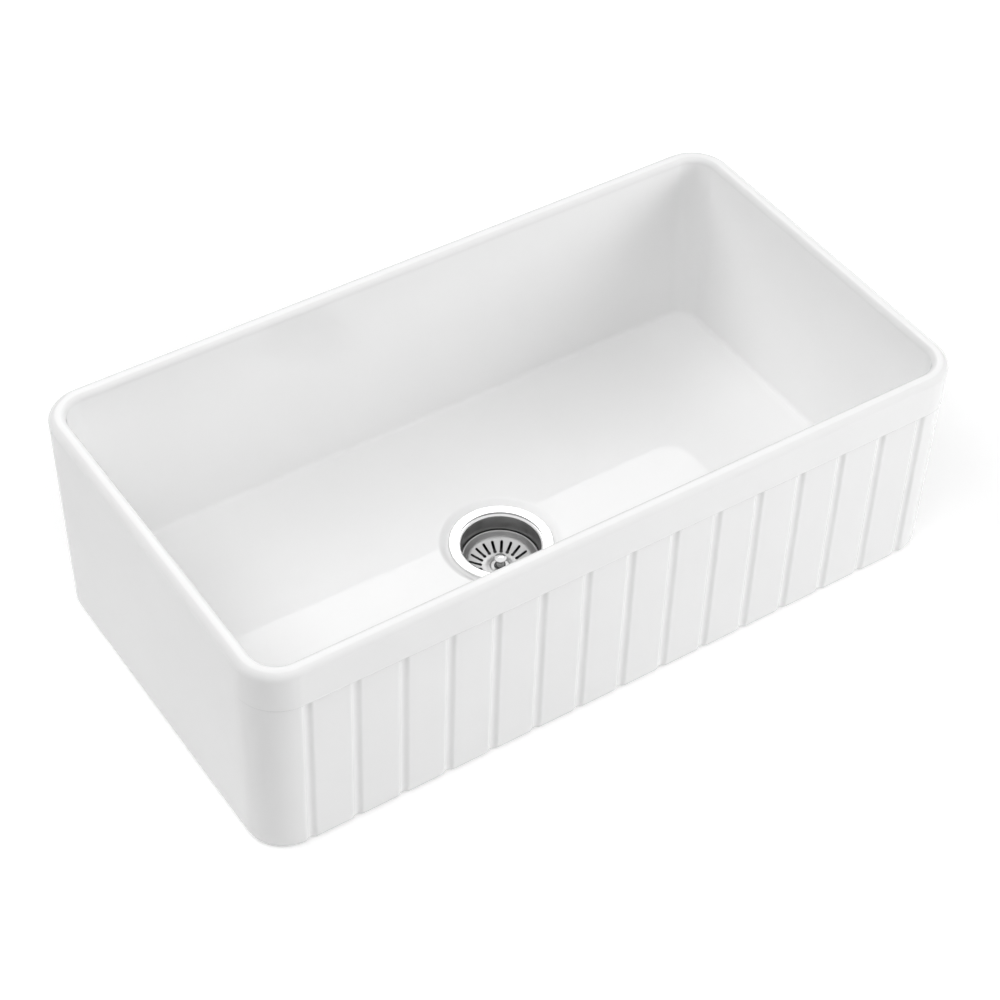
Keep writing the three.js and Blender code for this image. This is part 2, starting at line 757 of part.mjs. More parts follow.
// The post has a collar that the plate and the rubber are clamped against.
function post() {
  const top = knobTop - knobCapThickness - fitGap;
  return revolve([
    [0, postFoot],
    [postRadius, postFoot],
    [postRadius, collarFoot],
    [postRadius + collarReach, collarFoot],
    [postRadius + collarReach, collarTop],
    [postRadius, collarTop],
    [postRadius, top],
    [0, top],
  ], smallSegments);
}

function stopperPlate() {
  return revolve(washerOutline(threadBore, plateRadius, plateFoot, plateTop, plateEase), mediumSegments);
}

function stopperRubber() {
  return revolve([
    [threadBore, rubberFoot],
    [rubberFootRadius, rubberFoot],
    [rubberRadius, rubberEdge],
    [rubberRadius, rubberTop - rubberLip],
    [rubberRadius - rubberLip, rubberTop],
    [threadBore, rubberTop],
  ], wideSegments);
}

function stopperNut() {
  const foot = stopperNutTop - stopperNutHeight;
  const bore = revolve([
    [0, foot - cutterReach],
    [threadBore, foot - cutterReach],
    [threadBore, stopperNutTop + cutterReach],
    [0, stopperNutTop + cutterReach],
  ], smallSegments);
  return ribbedDisc(() => stopperNutRadius, nutSides, foot, stopperNutTop).subtract(bore);
}

// ---- The whole sink ----

const sink = new THREE.Group();
sink.name = 'farmhouse_sink';

sink.add(
  piece('basin', basin(), 'fireclay'),
  piece('flange_seal', flangeSeal(), 'whiteRubber'),
  piece('strainer_body', strainerBody(), 'polishedSteel'),
  piece('under_gasket', underGasket(), 'blackRubber'),
  piece('friction_washer', frictionWasher(), 'fibre'),
  piece('lock_nut', lockNut(), 'castMetal'),
  piece('tailpiece_washer', tailpieceWasher(), 'whiteRubber'),
  piece('tailpiece', tailpiece(), 'brushedSteel'),
  piece('coupling_nut', couplingNut(), 'brass'),
);

const liftOutBasket = new THREE.Group();
liftOutBasket.name = 'lift_out_basket';
liftOutBasket.add(
  piece('basket_shell', basketShell(), 'brushedSteel'),
  piece('basket_bush', basketBush(), 'nylon'),
  piece('bush_retainer', bushRetainer(), 'brushedSteel'),
  piece('friction_ring', frictionRing(), 'blackRubber'),
);
sink.add(liftOutBasket);

const pullUpStopper = new THREE.Group();
pullUpStopper.name = 'pull_up_stopper';
pullUpStopper.add(
  piece('knob', knob(), 'polishedSteel'),
  piece('post', post(), 'brushedSteel'),
  piece('stopper_plate', stopperPlate(), 'brushedSteel'),
  piece('stopper_rubber', stopperRubber(), 'blackRubber'),
  piece('stopper_nut', stopperNut(), 'brass'),
);
liftOutBasket.add(pullUpStopper);

export default sink;
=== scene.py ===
import math

import bmesh
import bpy
import numpy as np
from mathutils import Matrix, Vector


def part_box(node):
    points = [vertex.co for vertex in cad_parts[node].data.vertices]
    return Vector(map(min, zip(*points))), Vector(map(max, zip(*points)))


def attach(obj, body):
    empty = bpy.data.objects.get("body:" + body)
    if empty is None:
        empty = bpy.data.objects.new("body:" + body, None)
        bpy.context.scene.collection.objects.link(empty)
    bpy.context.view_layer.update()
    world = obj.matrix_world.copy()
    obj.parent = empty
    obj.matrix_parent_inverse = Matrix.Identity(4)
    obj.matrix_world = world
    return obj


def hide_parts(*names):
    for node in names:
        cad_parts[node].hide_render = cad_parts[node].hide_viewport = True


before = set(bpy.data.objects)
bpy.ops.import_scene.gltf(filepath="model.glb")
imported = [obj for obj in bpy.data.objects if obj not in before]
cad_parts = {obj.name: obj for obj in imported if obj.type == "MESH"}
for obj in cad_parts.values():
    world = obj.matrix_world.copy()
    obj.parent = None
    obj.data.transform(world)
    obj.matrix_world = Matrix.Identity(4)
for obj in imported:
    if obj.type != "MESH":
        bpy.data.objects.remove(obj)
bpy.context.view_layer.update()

MM = 0.001

# ---- Sizes of the basin ----
BASIN_WIDTH = 838.0
BASIN_DEPTH = 457.0
BASIN_HEIGHT = 254.0
WALL = 18.0
CORNER_RADIUS = 46.0
RIM_OUTER_ROUND = 8.0
RIM_INNER_ROUND = 6.0
FOOT_ROUND = 9.0
SIDE_DRAFT = 3.0
FRONT_DRAFT = 1.0
BACK_DRAFT = 8.0
INNER_DRAFT = 2.5
FLOOR_FILLET = 6.0
FLOOR_EDGE_HEIGHT = 31.0
DISH_LIP_HEIGHT = 28.2
DISH_LIP_RADIUS = 69.0
SEAT_RADIUS = 58.0
SEAT_HEIGHT = 23.7
GROUND_RADIUS = 62.0
GROUND_DEPTH = 1.0
DRAIN_HOLE_RADIUS = 46.0
HOLE_EDGE_ROUND = 5.0

# ---- Sizes of the fluted apron ----
BAND_HEIGHT = 48.0
BAND_EDGE_RISE = 3.4
PANEL_RECESS = 3.2
GROOVE_COUNT = 15
GROOVE_END_INSET = 5.5
GROOVE_DEPTH = 2.5
GROOVE_SPREAD = 4.4  # half the width of a groove where it is about a third of its full depth
GROOVE_SHARPNESS = 3  # power that sets how steep a groove's walls are
GROOVE_WIDTH = 18.0

# ---- Sizes of the strainer ----
FIT_GAP = 0.3
FLANGE_RADIUS = 57.0
FLANGE_EDGE_ROUND = 1.2
FLANGE_FALL = 0.7  # from the flange's edge in to its mouth
FLANGE_SHADOW_GAP = 1.0  # under the flange's edge
SEAL_THICKNESS = 1.4
SEAL_WIDTH = 4.0
SHEET = 1.3
CUP_RADIUS = 43.4
MOUTH_FLARE = 3.4
MOUTH_DEPTH = 4.2
MOUTH_STEP = 1.7
LEDGE_DEPTH = 25.9
LEDGE_REACH = 2.4
LEDGE_HEIGHT = 4.6
LEDGE_NOSE = 0.6
CUP_DEPTH = 56.2
CUP_CORNER_RADIUS = 8.0
STOPPER_SEAT_RADIUS = 27.5
STOPPER_SEAT_DROP = 4.0
OUTLET_RADIUS = 21.4
OUTLET_LENGTH = 19.0
CROSSBAR_WIDTH = 3.0
CROSSBAR_HEIGHT = 4.0
CROSSBAR_EDGE_ROUND = 0.6
CROSSBAR_CLEARANCE = 1.2
THREAD_DEPTH = 0.45
THREAD_PITCH = 2.0
THREAD_RUN_OUT = 1.5

# ---- Sizes of the clamping stack and the outlet ----
LOCK_NUT_WALL = 6.5
LOCK_NUT_LUGS = 6
LOCK_NUT_LUG_REACH = 5.0
LOCK_NUT_LUG_WIDTH = 9.0
LOCK_NUT_LUG_SLOPE = 1.2  # width over which a lug's side rises
LOCK_NUT_LUG_ROUND = 0.8
LOCK_NUT_EDGE_ROUND = 1.5
LOCK_NUT_CHAMFER = 0.6
TAIL_RADIUS = 19.05
TAIL_WALL = 1.1
TAIL_FLANGE = 1.4
TAIL_BEND = 1.2  # radius under the flange
TAIL_CUT_EASE = 0.2
TAIL_FLANGE_EASE = 0.3
TAIL_MOUTH_EASE = 0.4
COUPLING_WALL = 4.2
COUPLING_RIBS = 8
COUPLING_RIB_REACH = 1.6
COUPLING_RIB_FULLNESS = 0.8  # power that widens the ribs
COUPLING_EDGE = ((1.2, 0.0, 0.0), (0.3, 0.4, 0.3), (0.0, 1.2, 0.9), (0.0, 2.0, 1.0))  # in, up, share of rib
COUPLING_THROAT_CHAMFER = 0.4
COUPLING_BORE_CHAMFER = 0.8

# ---- Sizes of the basket and its stopper ----
BASKET_SHEET = 1.0
BASKET_CLEARANCE = 0.8
ROLL_RADIUS = 1.3
DISH_DEPTH = 13.6
SLOT_COUNT = 20
SLOT_INNER_RADIUS = 19.8
SLOT_OUTER_RADIUS = 34.6
SLOT_RISE = 5.0
SLOT_WIDTH = 3.2
SLOT_EYE_RADIUS = 2.0
HUB_RISE = 0.9
HUB_RADIUS = 12.0
HUB_SLOPE = 2.3
POST_RADIUS = 2.4
BUSH_BODY_RADIUS = 5.0
BUSH_LOBES = 3
BUSH_LOBE_RADIUS = 6.7
BUSH_WAIST_RADIUS = 5.8
BUSH_HEAD = 1.3
BUSH_EDGE_ROUND = 0.35
KNOB_RADIUS = 7.0
KNOB_CAP = 3.0
KNOB_EDGE_ROUND = 0.8
KNOB_FOOT_RADIUS = 4.6
KNOB_WAIST_RADIUS = 3.7
KNOB_HEIGHT = 11.6
POST_END_EASE = 0.5
POST_COLLAR_HEIGHT = 1.2
POST_COLLAR_EASE = 0.3
RUBBER_FOOT_EASE = 0.5
RUBBER_SLOPE_EASE = 0.2
RUBBER_EDGE_EASE = 0.3
RUBBER_LIP_ROUND = 0.6
STOPPER_NUT_CHAMFER = 0.3
STOPPER_NUT_EDGE_IN = 0.2
STOPPER_NUT_EDGE_UP = 0.4

# ---- Heights that follow ----
FLANGE_TOP = SEAT_HEIGHT + FIT_GAP + SEAL_THICKNESS + FIT_GAP + SHEET
LEDGE_TOP = FLANGE_TOP - LEDGE_DEPTH
CUP_BOTTOM = FLANGE_TOP - CUP_DEPTH
STOPPER_SEAT_FOOT = CUP_BOTTOM - STOPPER_SEAT_DROP
OUTLET_END = STOPPER_SEAT_FOOT - OUTLET_LENGTH
BASKET_RIM_TOP = LEDGE_TOP + FIT_GAP + 2 * ROLL_RADIUS
BASKET_FLOOR = BASKET_RIM_TOP - DISH_DEPTH
HUB_TOP = BASKET_FLOOR + HUB_RISE
BUSH_TOP = HUB_TOP + FIT_GAP + BUSH_HEAD
KNOB_FOOT = BUSH_TOP + FIT_GAP
KNOB_TOP = KNOB_FOOT + KNOB_HEIGHT
SHANK_RADIUS = CUP_RADIUS + SHEET
STUB_RADIUS = OUTLET_RADIUS + SHEET

# ---- Fineness ----
CORNER_STEPS = 16
GROOVE_STEPS = 28
ROUND_STEPS = 10
BACK_STEPS = 40
SIDE_STEPS = 20
TURNED_SEGMENTS = 160
SMALL_SEGMENTS = 72  # round the post and the friction ring
RING_SIDES = 24  # round the section of the friction ring
LUG_SEGMENTS = 48
RIB_SEGMENTS = 24
HEXAGON_SEGMENTS = 24
THREAD_STEPS = 8  # along one pitch
WALL_ROWS = (0.02, 0.5, 0.98)  # shares of the way; rows close to an edge keep the flat beside it flat
FLOOR_ROWS = (0.04, 0.35, 0.7)
FLANGE_ROWS = (0.05, 0.5, 0.95)
CROWN_ROWS = (0.25, 0.5, 0.75, 1)
SHARP_ANGLE = 35
BASIN_SHARP_ANGLE = 50
MERGE_DISTANCE = 1e-6  # in metres
SHORTEST_EDGE = 1e-7  # in metres

# ---- Light and camera ----
FILL_LEVEL = 0.1
FLOOR_GLOW = 0.3
FLOOR_FADE = (0.9, 2.4)  # distances between which the floor turns plain white, in metres
LAMP_DISTANCE = 3.5
LAMP_TARGET = Vector((0, 0, 0.15))
CAMERA_PLACE = Vector((-1.11612, -1.60241, 1.99244))
CAMERA_FORWARD = Vector((0.40860, 0.58834, -0.69778))
CAMERA_RIGHT = Vector((0.83428, -0.55081, 0.02411))
CAMERA_LENS = 92.63


# ---------------------------------------------------------------- mesh helpers

def mix(a, b, t):
    return a + (b - a) * t


def quarter(steps):
    """Turns from 0 to a quarter circle, in radians."""
    return [math.pi / 2 * i / steps for i in range(steps + 1)]


def arc(centre_r, centre_z, radius, start, end, steps=6):
    """Points [r, z] on an arc, angles in degrees."""
    turns = [math.radians(mix(start, end, i / steps)) for i in range(steps + 1)]
    return [(centre_r + radius * math.cos(a), centre_z + radius * math.sin(a)) for a in turns]


def add_object(name, verts, faces):
    """An object from points in millimetres, with doubled points merged and its faces pointing out."""
    mesh = bpy.data.meshes.new(name)
    mesh.from_pydata([tuple(v) for v in np.asarray(verts) * MM], [], faces)
    work = bmesh.new()
    work.from_mesh(mesh)
    bmesh.ops.remove_doubles(work, verts=work.verts, dist=MERGE_DISTANCE)
    bmesh.ops.dissolve_degenerate(work, edges=work.edges, dist=SHORTEST_EDGE)
    bmesh.ops.recalc_face_normals(work, faces=work.faces)
    work.to_mesh(mesh)
    work.free()
    obj = bpy.data.objects.new(name, mesh)
    bpy.context.scene.collection.objects.link(obj)
    return obj


def smooth(obj, degrees=SHARP_ANGLE):
    """Smooth shading that keeps edges sharper than the angle, and keeps flats flat."""
    for polygon in obj.data.polygons:
        polygon.use_smooth = True
    obj.data.set_sharp_from_angle(angle=math.radians(degrees))
    modifier = obj.modifiers.new("flat_faces", "WEIGHTED_NORMAL")
    modifier.keep_sharp = True
    return obj


def ring_faces(rings, count, closed=True):
    """Quads between successive rings of count points; closed joins the last ring to the first."""
    faces = []
    for k in range(rings if closed else rings - 1):
        low = k * count
        high = (k + 1) % rings * count
        for i in range(count):
            j = (i + 1) % count
            faces.append((low + i, low + j, high + j, high + i))
    return faces


def turned(name, outline, shape=None, segments=TURNED_SEGMENTS):
    """Turns a closed outline about the Z axis.

    An outline point is [r, z] or [r, z, reach]: shape(angle, z), from 0 to 1, says how much of the
    reach is added to the radius.
    """
    angles = [2 * math.pi * i / segments for i in range(segments)]
    verts = []
    for r, z, *reach in outline:
        for a in angles:
            radius = r + reach[0] * shape(a, z) if reach else r
            verts.append((radius * math.cos(a), radius * math.sin(a), z))
    return smooth(add_object(name, verts, ring_faces(len(outline), segments)))


def thread(low, high, radius):
    """Outline of a threaded stretch between two heights, its grooves running out at both ends."""
    steps = int(abs(high - low) / THREAD_PITCH * THREAD_STEPS)
    points = []
    for i in range(steps + 1):
        z = mix(low, high, i / steps)
        depth = THREAD_DEPTH * min(1, abs(z - low) / THREAD_RUN_OUT, abs(high - z) / THREAD_RUN_OUT)
        points.append((radius, z, -depth))
    return points


def helix(angle, z):
    """Depth of a thread's groove, from 0 on the crest to 1 at the root."""
    return 1 - abs(((z / THREAD_PITCH + angle / (2 * math.pi)) % 1) * 2 - 1)


def thicken(line, thickness):
    """The [r, z] line's other side, at a distance on its left, in reverse order."""

    def left_normal(a, b):
        return Vector((a[1] - b[1], b[0] - a[0])).normalized()

    last = len(line) - 1
    offset = []
    for i, (r, z) in enumerate(line):
        before = left_normal(line[max(i, 1) - 1], line[max(i, 1)])
        after = left_normal(line[min(i, last - 1)], line[min(i, last - 1) + 1])
        mitre = (before + after).normalized()
        mitre *= thickness / mitre.dot(before)
        offset.append((r + mitre.x, z + mitre.y))
    return offset[::-1]


def spline(points, steps=9):
    """Catmull-Rom curve through [r, z] points."""
    padded = [points[0], *points, points[-1]]
    made = []
    for k in range(len(points) - 1):
        p = [Vector(q) for q in padded[k:k + 4]]
        for i in range(steps):
            t = i / steps
            made.append(tuple(0.5 * (
                2 * p[1] + (p[2] - p[0]) * t
                + (2 * p[0] - 5 * p[1] + 4 * p[2] - p[3]) * t * t
                + (3 * p[1] - p[0] - 3 * p[2] + p[3]) * t ** 3
            )))
    return [*made, tuple(points[-1])]


def eased(points, ease):
    """Cuts each corner of a closed [r, z] outline with two points, so that no edge is knife sharp."""
    made = []
    for i, corner in enumerate(points):
        here = Vector(corner)
        for other in (points[i - 1], points[(i + 1) % len(points)]):
            way = Vector(other) - here
            made.append(tuple(here + way.normalized() * min(ease, way.length / 3)))
    return made


def node_span(node):
    """Lowest and highest point of a node, and its largest radius."""
    low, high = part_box(node)
    return low.z / MM, high.z / MM, high.x / MM


def washer(node, bore, ease):
    """A ring in the place of a CAD node, with its edges eased."""
    low, high, outer = node_span(node)
    section = [(bore, low), (outer, low), (outer, high), (bore, high)]
    return turned(node + "_ring", eased(section, ease))


# ---------------------------------------------------------------- basin

OUTER_GROOVE = BASIN_WIDTH / 2 - CORNER_RADIUS - GROOVE_END_INSET
GROOVE_PITCH = 2 * OUTER_GROOVE / (GROOVE_COUNT - 1)
FLUTE_REACH = OUTER_GROOVE + GROOVE_WIDTH / 2

GROOVE_MIDDLES = [-OUTER_GROOVE + i * GROOVE_PITCH for i in range(GROOVE_COUNT)]
ACROSS_GROOVE = np.linspace(-GROOVE_WIDTH / 2, GROOVE_WIDTH / 2, GROOVE_STEPS + 1)
FRONT_X = np.concatenate([middle + ACROSS_GROOVE for middle in GROOVE_MIDDLES])
GROOVE_PROFILE = GROOVE_DEPTH * np.exp(-np.abs(ACROSS_GROOVE / GROOVE_SPREAD) ** GROOVE_SHARPNESS)
FRONT_GROOVES = np.tile(GROOVE_PROFILE, GROOVE_COUNT)
STRAIGHT_DOWN = -0.99  # height of the normal of a face that belongs to the flat underside


def side_fractions(half_along, half_across, straight, steps):
    """Shares of a straight side that lie at even angles about the drain."""
    spread = math.atan2(half_along, half_across)
    turns = [mix(-spread, spread, i / steps) for i in range(1, steps)]
    return np.array([half_across * math.tan(a) / straight for a in turns])


FLOOR_INSET = WALL + INNER_DRAFT + FLOOR_FILLET
FLOOR_HALF_X = BASIN_WIDTH / 2 - FLOOR_INSET
FLOOR_HALF_Y = BASIN_DEPTH / 2 - FLOOR_INSET
FLOOR_CORNER = CORNER_RADIUS - WALL - FLOOR_FILLET
BACK_SHARES = side_fractions(FLOOR_HALF_X, FLOOR_HALF_Y, FLOOR_HALF_X - FLOOR_CORNER, BACK_STEPS)
SIDE_SHARES = side_fractions(FLOOR_HALF_Y, FLOOR_HALF_X, FLOOR_HALF_Y - FLOOR_CORNER, SIDE_STEPS)


def perimeter(half_x, half_y_front, half_y_back, radius, z, fluting=0.0):
    """A rounded rectangle seen from above, counter-clockwise, with the flutes along its front."""
    straight = half_x - radius
    turned_by = math.asin(min(max((FLUTE_REACH - straight) / radius, 0), 1))

    def corner(sign, centre_y, start, end):
        a = np.linspace(start, end, CORNER_STEPS + 1)
        shift = fluting * PANEL_RECESS * np.maximum(-np.sin(a), 0) if centre_y < 0 else 0
        x, y = sign * straight + radius * np.cos(a), centre_y + radius * np.sin(a) + shift
        return np.stack([x, y], 1)

    back_mid, front_mid = half_y_back - radius, radius - half_y_front
    back = np.stack([-BACK_SHARES * straight, np.full(len(BACK_SHARES), half_y_back)], 1)
    side_y = mix(front_mid, back_mid, (SIDE_SHARES + 1) / 2)
    right = np.stack([np.full(len(side_y), half_x), side_y], 1)
    left = np.stack([np.full(len(side_y), -half_x), side_y[::-1]], 1)
    past = np.maximum(np.abs(FRONT_X) - straight, 0) / radius
    facing = np.sqrt(1 - past ** 2)
    depth = fluting * (PANEL_RECESS * facing + FRONT_GROOVES)
    front = np.stack([FRONT_X, front_mid - radius * facing + depth], 1)
    flat = np.concatenate([
        corner(1, back_mid, 0, math.pi / 2),
        back,
        corner(-1, back_mid, math.pi / 2, math.pi),
        left,
        corner(-1, front_mid, math.pi, 1.5 * math.pi - turned_by)[:-1],
        front,
        corner(1, front_mid, 1.5 * math.pi + turned_by, 2 * math.pi)[1:],
        right,
    ])
    return np.column_stack([flat, np.full(len(flat), z)])


def outside_ring(z, inset, fluting):
    """The outside of the walls at height z, drawn in by an inset."""
    lean = 1 - z / BASIN_HEIGHT
    half_x = BASIN_WIDTH / 2 - SIDE_DRAFT * lean - inset
    front = BASIN_DEPTH / 2 - FRONT_DRAFT * lean - inset
    back = BASIN_DEPTH / 2 - BACK_DRAFT * lean - inset
    return perimeter(half_x, front, back, CORNER_RADIUS - inset, z, fluting)


def inside_ring(level, inset, z):
    """The inside of the walls as it is at a level, drawn in by an inset and placed at height z."""
    lean = INNER_DRAFT * (BASIN_HEIGHT - level) / (BASIN_HEIGHT - FLOOR_EDGE_HEIGHT)
    drawn = WALL + lean + inset
    half_x, half_y = BASIN_WIDTH / 2 - drawn, BASIN_DEPTH / 2 - drawn
    return perimeter(half_x, half_y, half_y, CORNER_RADIUS - WALL - inset, z)


def circle_ring(radius, z):
    """A circle about the drain whose points lie in the same directions as those of the floor's edge."""
    edge = inside_ring(FLOOR_EDGE_HEIGHT, FLOOR_FILLET, FLOOR_EDGE_HEIGHT)
    scale = radius / np.hypot(edge[:, 0], edge[:, 1])
    return np.column_stack([edge[:, 0] * scale, edge[:, 1] * scale, np.full(len(scale), z)])


def outside_rings():
    """From the drain hole's lower edge, out over the underside and up the walls to the rim."""
    band_foot = BASIN_HEIGHT - BAND_HEIGHT
    under_inset = FOOT_ROUND + 2 * (PANEL_RECESS + GROOVE_DEPTH)
    rings = [
        circle_ring(DRAIN_HOLE_RADIUS, GROUND_DEPTH),
        circle_ring(GROUND_RADIUS, GROUND_DEPTH),
        circle_ring(GROUND_RADIUS, 0),
        outside_ring(0, under_inset, 0),
    ]
    for turn in quarter(ROUND_STEPS):
        height, inset = FOOT_ROUND * (1 - math.cos(turn)), FOOT_ROUND * (1 - math.sin(turn))
        rings.append(outside_ring(height, inset, 1))
    for share in WALL_ROWS:
        rings.append(outside_ring(mix(FOOT_ROUND, band_foot, share), 0, 1))
    for turn in quarter(ROUND_STEPS):
        rise = BAND_EDGE_RISE * (1 - math.cos(turn))
        rings.append(outside_ring(band_foot + rise, 0, 1 - math.sin(turn)))
    for turn in quarter(ROUND_STEPS):
        height = BASIN_HEIGHT - RIM_OUTER_ROUND * (1 - math.sin(turn))
        rings.append(outside_ring(height, RIM_OUTER_ROUND * (1 - math.cos(turn)), 0))
    return rings


def inside_rings():
    """From the rim down the inside of the walls, over the floor and its dish, to the drain hole."""
    rings = []
    for turn in quarter(ROUND_STEPS):
        height = BASIN_HEIGHT - RIM_INNER_ROUND * (1 - math.cos(turn))
        rings.append(inside_ring(BASIN_HEIGHT, -RIM_INNER_ROUND * (1 - math.sin(turn)), height))
    for turn in quarter(ROUND_STEPS):
        height = FLOOR_EDGE_HEIGHT + FLOOR_FILLET * (1 - math.sin(turn))
        rings.append(inside_ring(FLOOR_EDGE_HEIGHT, FLOOR_FILLET * (1 - math.cos(turn)), height))
    edge, lip = rings[-1], circle_ring(DISH_LIP_RADIUS, DISH_LIP_HEIGHT)
    for share in FLOOR_ROWS:
        rings.append(mix(edge, lip, share))
    for i in range(ROUND_STEPS + 1):
        t = i / ROUND_STEPS
        height = mix(DISH_LIP_HEIGHT, SEAT_HEIGHT, (1 - math.cos(math.pi * t)) / 2)
        rings.append(circle_ring(mix(DISH_LIP_RADIUS, SEAT_RADIUS, t), height))
    middle = DRAIN_HOLE_RADIUS + HOLE_EDGE_ROUND
    for turn in quarter(ROUND_STEPS):
        height = SEAT_HEIGHT - HOLE_EDGE_ROUND * (1 - math.cos(turn))
        rings.append(circle_ring(middle - HOLE_EDGE_ROUND * math.sin(turn), height))
    return rings


def make_basin():
    """The whole casting as one closed skin, glazed all over but for its flat underside."""
    glaze, biscuit = 0, 1
    rings = [*outside_rings(), *inside_rings()]
    obj = add_object("basin_glazed", np.concatenate(rings), ring_faces(len(rings), len(rings[0])))
    for polygon in obj.data.polygons:
        polygon.material_index = biscuit if polygon.normal.z < STRAIGHT_DOWN else glaze
    return smooth(obj, BASIN_SHARP_ANGLE)


# ---------------------------------------------------------------- strainer

TOUCH = 0.05  # distance within which two radii count as one
FACES_UP = 0.1  # least height of the normal of a face that looks up


def flange_points():
    """From the flange's edge over its top and down through its mouth to the cup's wall."""
    edge, mouth = FLANGE_RADIUS - FLANGE_EDGE_ROUND, CUP_RADIUS + MOUTH_FLARE
    points = [(FLANGE_RADIUS, SEAT_HEIGHT + FLANGE_SHADOW_GAP)]
    points += arc(edge, FLANGE_TOP - FLANGE_EDGE_ROUND, FLANGE_EDGE_ROUND, 0, 90)
    for share in FLANGE_ROWS:
        points.append((mix(edge, mouth, share), FLANGE_TOP - FLANGE_FALL * share))
    points.append((mouth, FLANGE_TOP - FLANGE_FALL))
    for turn in quarter(ROUND_STEPS):
        fall = mix(FLANGE_FALL + MOUTH_STEP, MOUTH_DEPTH, 1 - math.cos(turn))
        points.append((mix(mouth, CUP_RADIUS, math.sin(turn)), FLANGE_TOP - fall))
    return points


def ledge_points():
    """The ledge inside the cup that carries the basket's rim."""
    nose = CUP_RADIUS - LEDGE_REACH
    return [
        (CUP_RADIUS, LEDGE_TOP),
        *arc(nose + LEDGE_NOSE, LEDGE_TOP - LEDGE_NOSE, LEDGE_NOSE, 90, 180),
        (nose, LEDGE_TOP - LEDGE_HEIGHT / 2),
        (CUP_RADIUS, LEDGE_TOP - LEDGE_HEIGHT),
    ]


def sump_points():
    """The cup's lower corner, the stopper's sloping seat and the outlet's bore."""
    corner = CUP_CORNER_RADIUS
    return [
        *arc(CUP_RADIUS - corner, CUP_BOTTOM + corner, corner, 0, -90, 8),
        (STOPPER_SEAT_RADIUS, CUP_BOTTOM),
        (OUTLET_RADIUS, STOPPER_SEAT_FOOT),
        (OUTLET_RADIUS, OUTLET_END),
    ]


def strainer_outline():
    """The inside from the flange down to the outlet, and back up on the outside with both threads."""
    margin = 1.0
    upper, lower = flange_points(), sump_points()
    outside = thicken([*upper, *lower], SHEET)
    past_stub = next(i for i, (r, z) in enumerate(outside) if r > STUB_RADIUS + margin)
    outline = [
        *upper,
        *ledge_points(),
        *lower,
        outside[0],
        *thread(OUTLET_END + margin, STOPPER_SEAT_FOOT - 2 * margin, STUB_RADIUS),
        *outside[past_stub - 1:],
    ]
    shank = [i for i, (r, z, *_) in enumerate(outline) if abs(r - SHANK_RADIUS) < TOUCH and z < 0]
    foot = shank[-1]
    threads = thread(outline[foot][1] + margin, SEAT_HEIGHT - 2 * HOLE_EDGE_ROUND, SHANK_RADIUS)
    return [*outline[:foot + 1], *threads, *outline[foot + 1:]]


def make_strainer():
    """The strainer's body: polished on its flange, duller in the cup and under it, threaded outside; the
    cup's darker tone is partly painted shade, and below its ledge it is painted shade.
    """
    cup, sump, tube = 1, 2, 3
    mouth = CUP_RADIUS + MOUTH_FLARE
    obj = turned("strainer_pressed", strainer_outline(), helix)
    for polygon in obj.data.polygons:
        radius, height = polygon.center.xy.length / MM, polygon.center.z / MM
        faces_in = polygon.normal.z > FACES_UP or polygon.normal.xy.dot(polygon.center.xy) < 0
        # the step in the mouth takes the cup's darker steel: a painted dark line
        on_step = abs(radius - mouth) < TOUCH and height < FLANGE_TOP - FLANGE_FALL
        if on_step or (faces_in and height < FLANGE_TOP - MOUTH_DEPTH):
            # below the ledge the sump material is painted shade
            polygon.material_index = cup if height > LEDGE_TOP else sump
        if not faces_in and height < SEAT_HEIGHT:
            polygon.material_index = tube
    return obj


def make_crossbars():
    """The cross in the outlet, under the stopper's post."""
    top = node_span("post")[0] - CROSSBAR_CLEARANCE
    size = (2 * OUTLET_RADIUS + SHEET, CROSSBAR_WIDTH, CROSSBAR_HEIGHT)
    work = bmesh.new()
    for turn in (0, math.pi / 2):
        made = bmesh.ops.create_cube(work, size=1)["verts"]
        bmesh.ops.scale(work, vec=size, verts=made)
        bmesh.ops.rotate(work, cent=(0, 0, 0), matrix=Matrix.Rotation(turn, 3, "Z"), verts=made)
        bmesh.ops.translate(work, vec=(0, 0, top - CROSSBAR_HEIGHT / 2), verts=made)
    bmesh.ops.bevel(work, geom=work.edges[:], offset=CROSSBAR_EDGE_ROUND, segments=3, affect="EDGES")
    work.verts.index_update()
    verts = [tuple(v.co) for v in work.verts]
    faces = [tuple(v.index for v in f.verts) for f in work.faces]
    work.free()
    return smooth(add_object("outlet_cross", verts, faces))


# ---------------------------------------------------------------- clamping stack and outlet

def make_lock_nut():
    """A cast ring with lugs round its outside for the spanner."""
    low, high, _ = node_span("lock_nut")
    bore, chamfer = SHANK_RADIUS + FIT_GAP, LOCK_NUT_CHAMFER
    outer = bore + LOCK_NUT_WALL
    edge = outer - LOCK_NUT_EDGE_ROUND
    foot, head = low + LOCK_NUT_EDGE_ROUND, high - LOCK_NUT_EDGE_ROUND
    reach, ease = LOCK_NUT_LUG_REACH, LOCK_NUT_LUG_ROUND

    def lugs(angle, z):
        step = 2 * math.pi / LOCK_NUT_LUGS
        aside = abs((angle + step / 2) % step - step / 2) * outer
        rise = (LOCK_NUT_LUG_WIDTH / 2 + LOCK_NUT_LUG_SLOPE / 2 - aside) / LOCK_NUT_LUG_SLOPE
        return min(max(rise, 0), 1)

    outline = [
        (bore + chamfer, low), (edge, low), (outer, foot),
        (outer, foot, reach - ease), (outer, foot + ease, reach),
        (outer, head - ease, reach), (outer, head, reach - ease),
        (outer, head), (edge, high), (bore + chamfer, high),
        (bore, high - chamfer), (bore, low + chamfer),
    ]
    return turned("lock_nut_cast", outline, lugs, LOCK_NUT_LUGS * LUG_SEGMENTS)


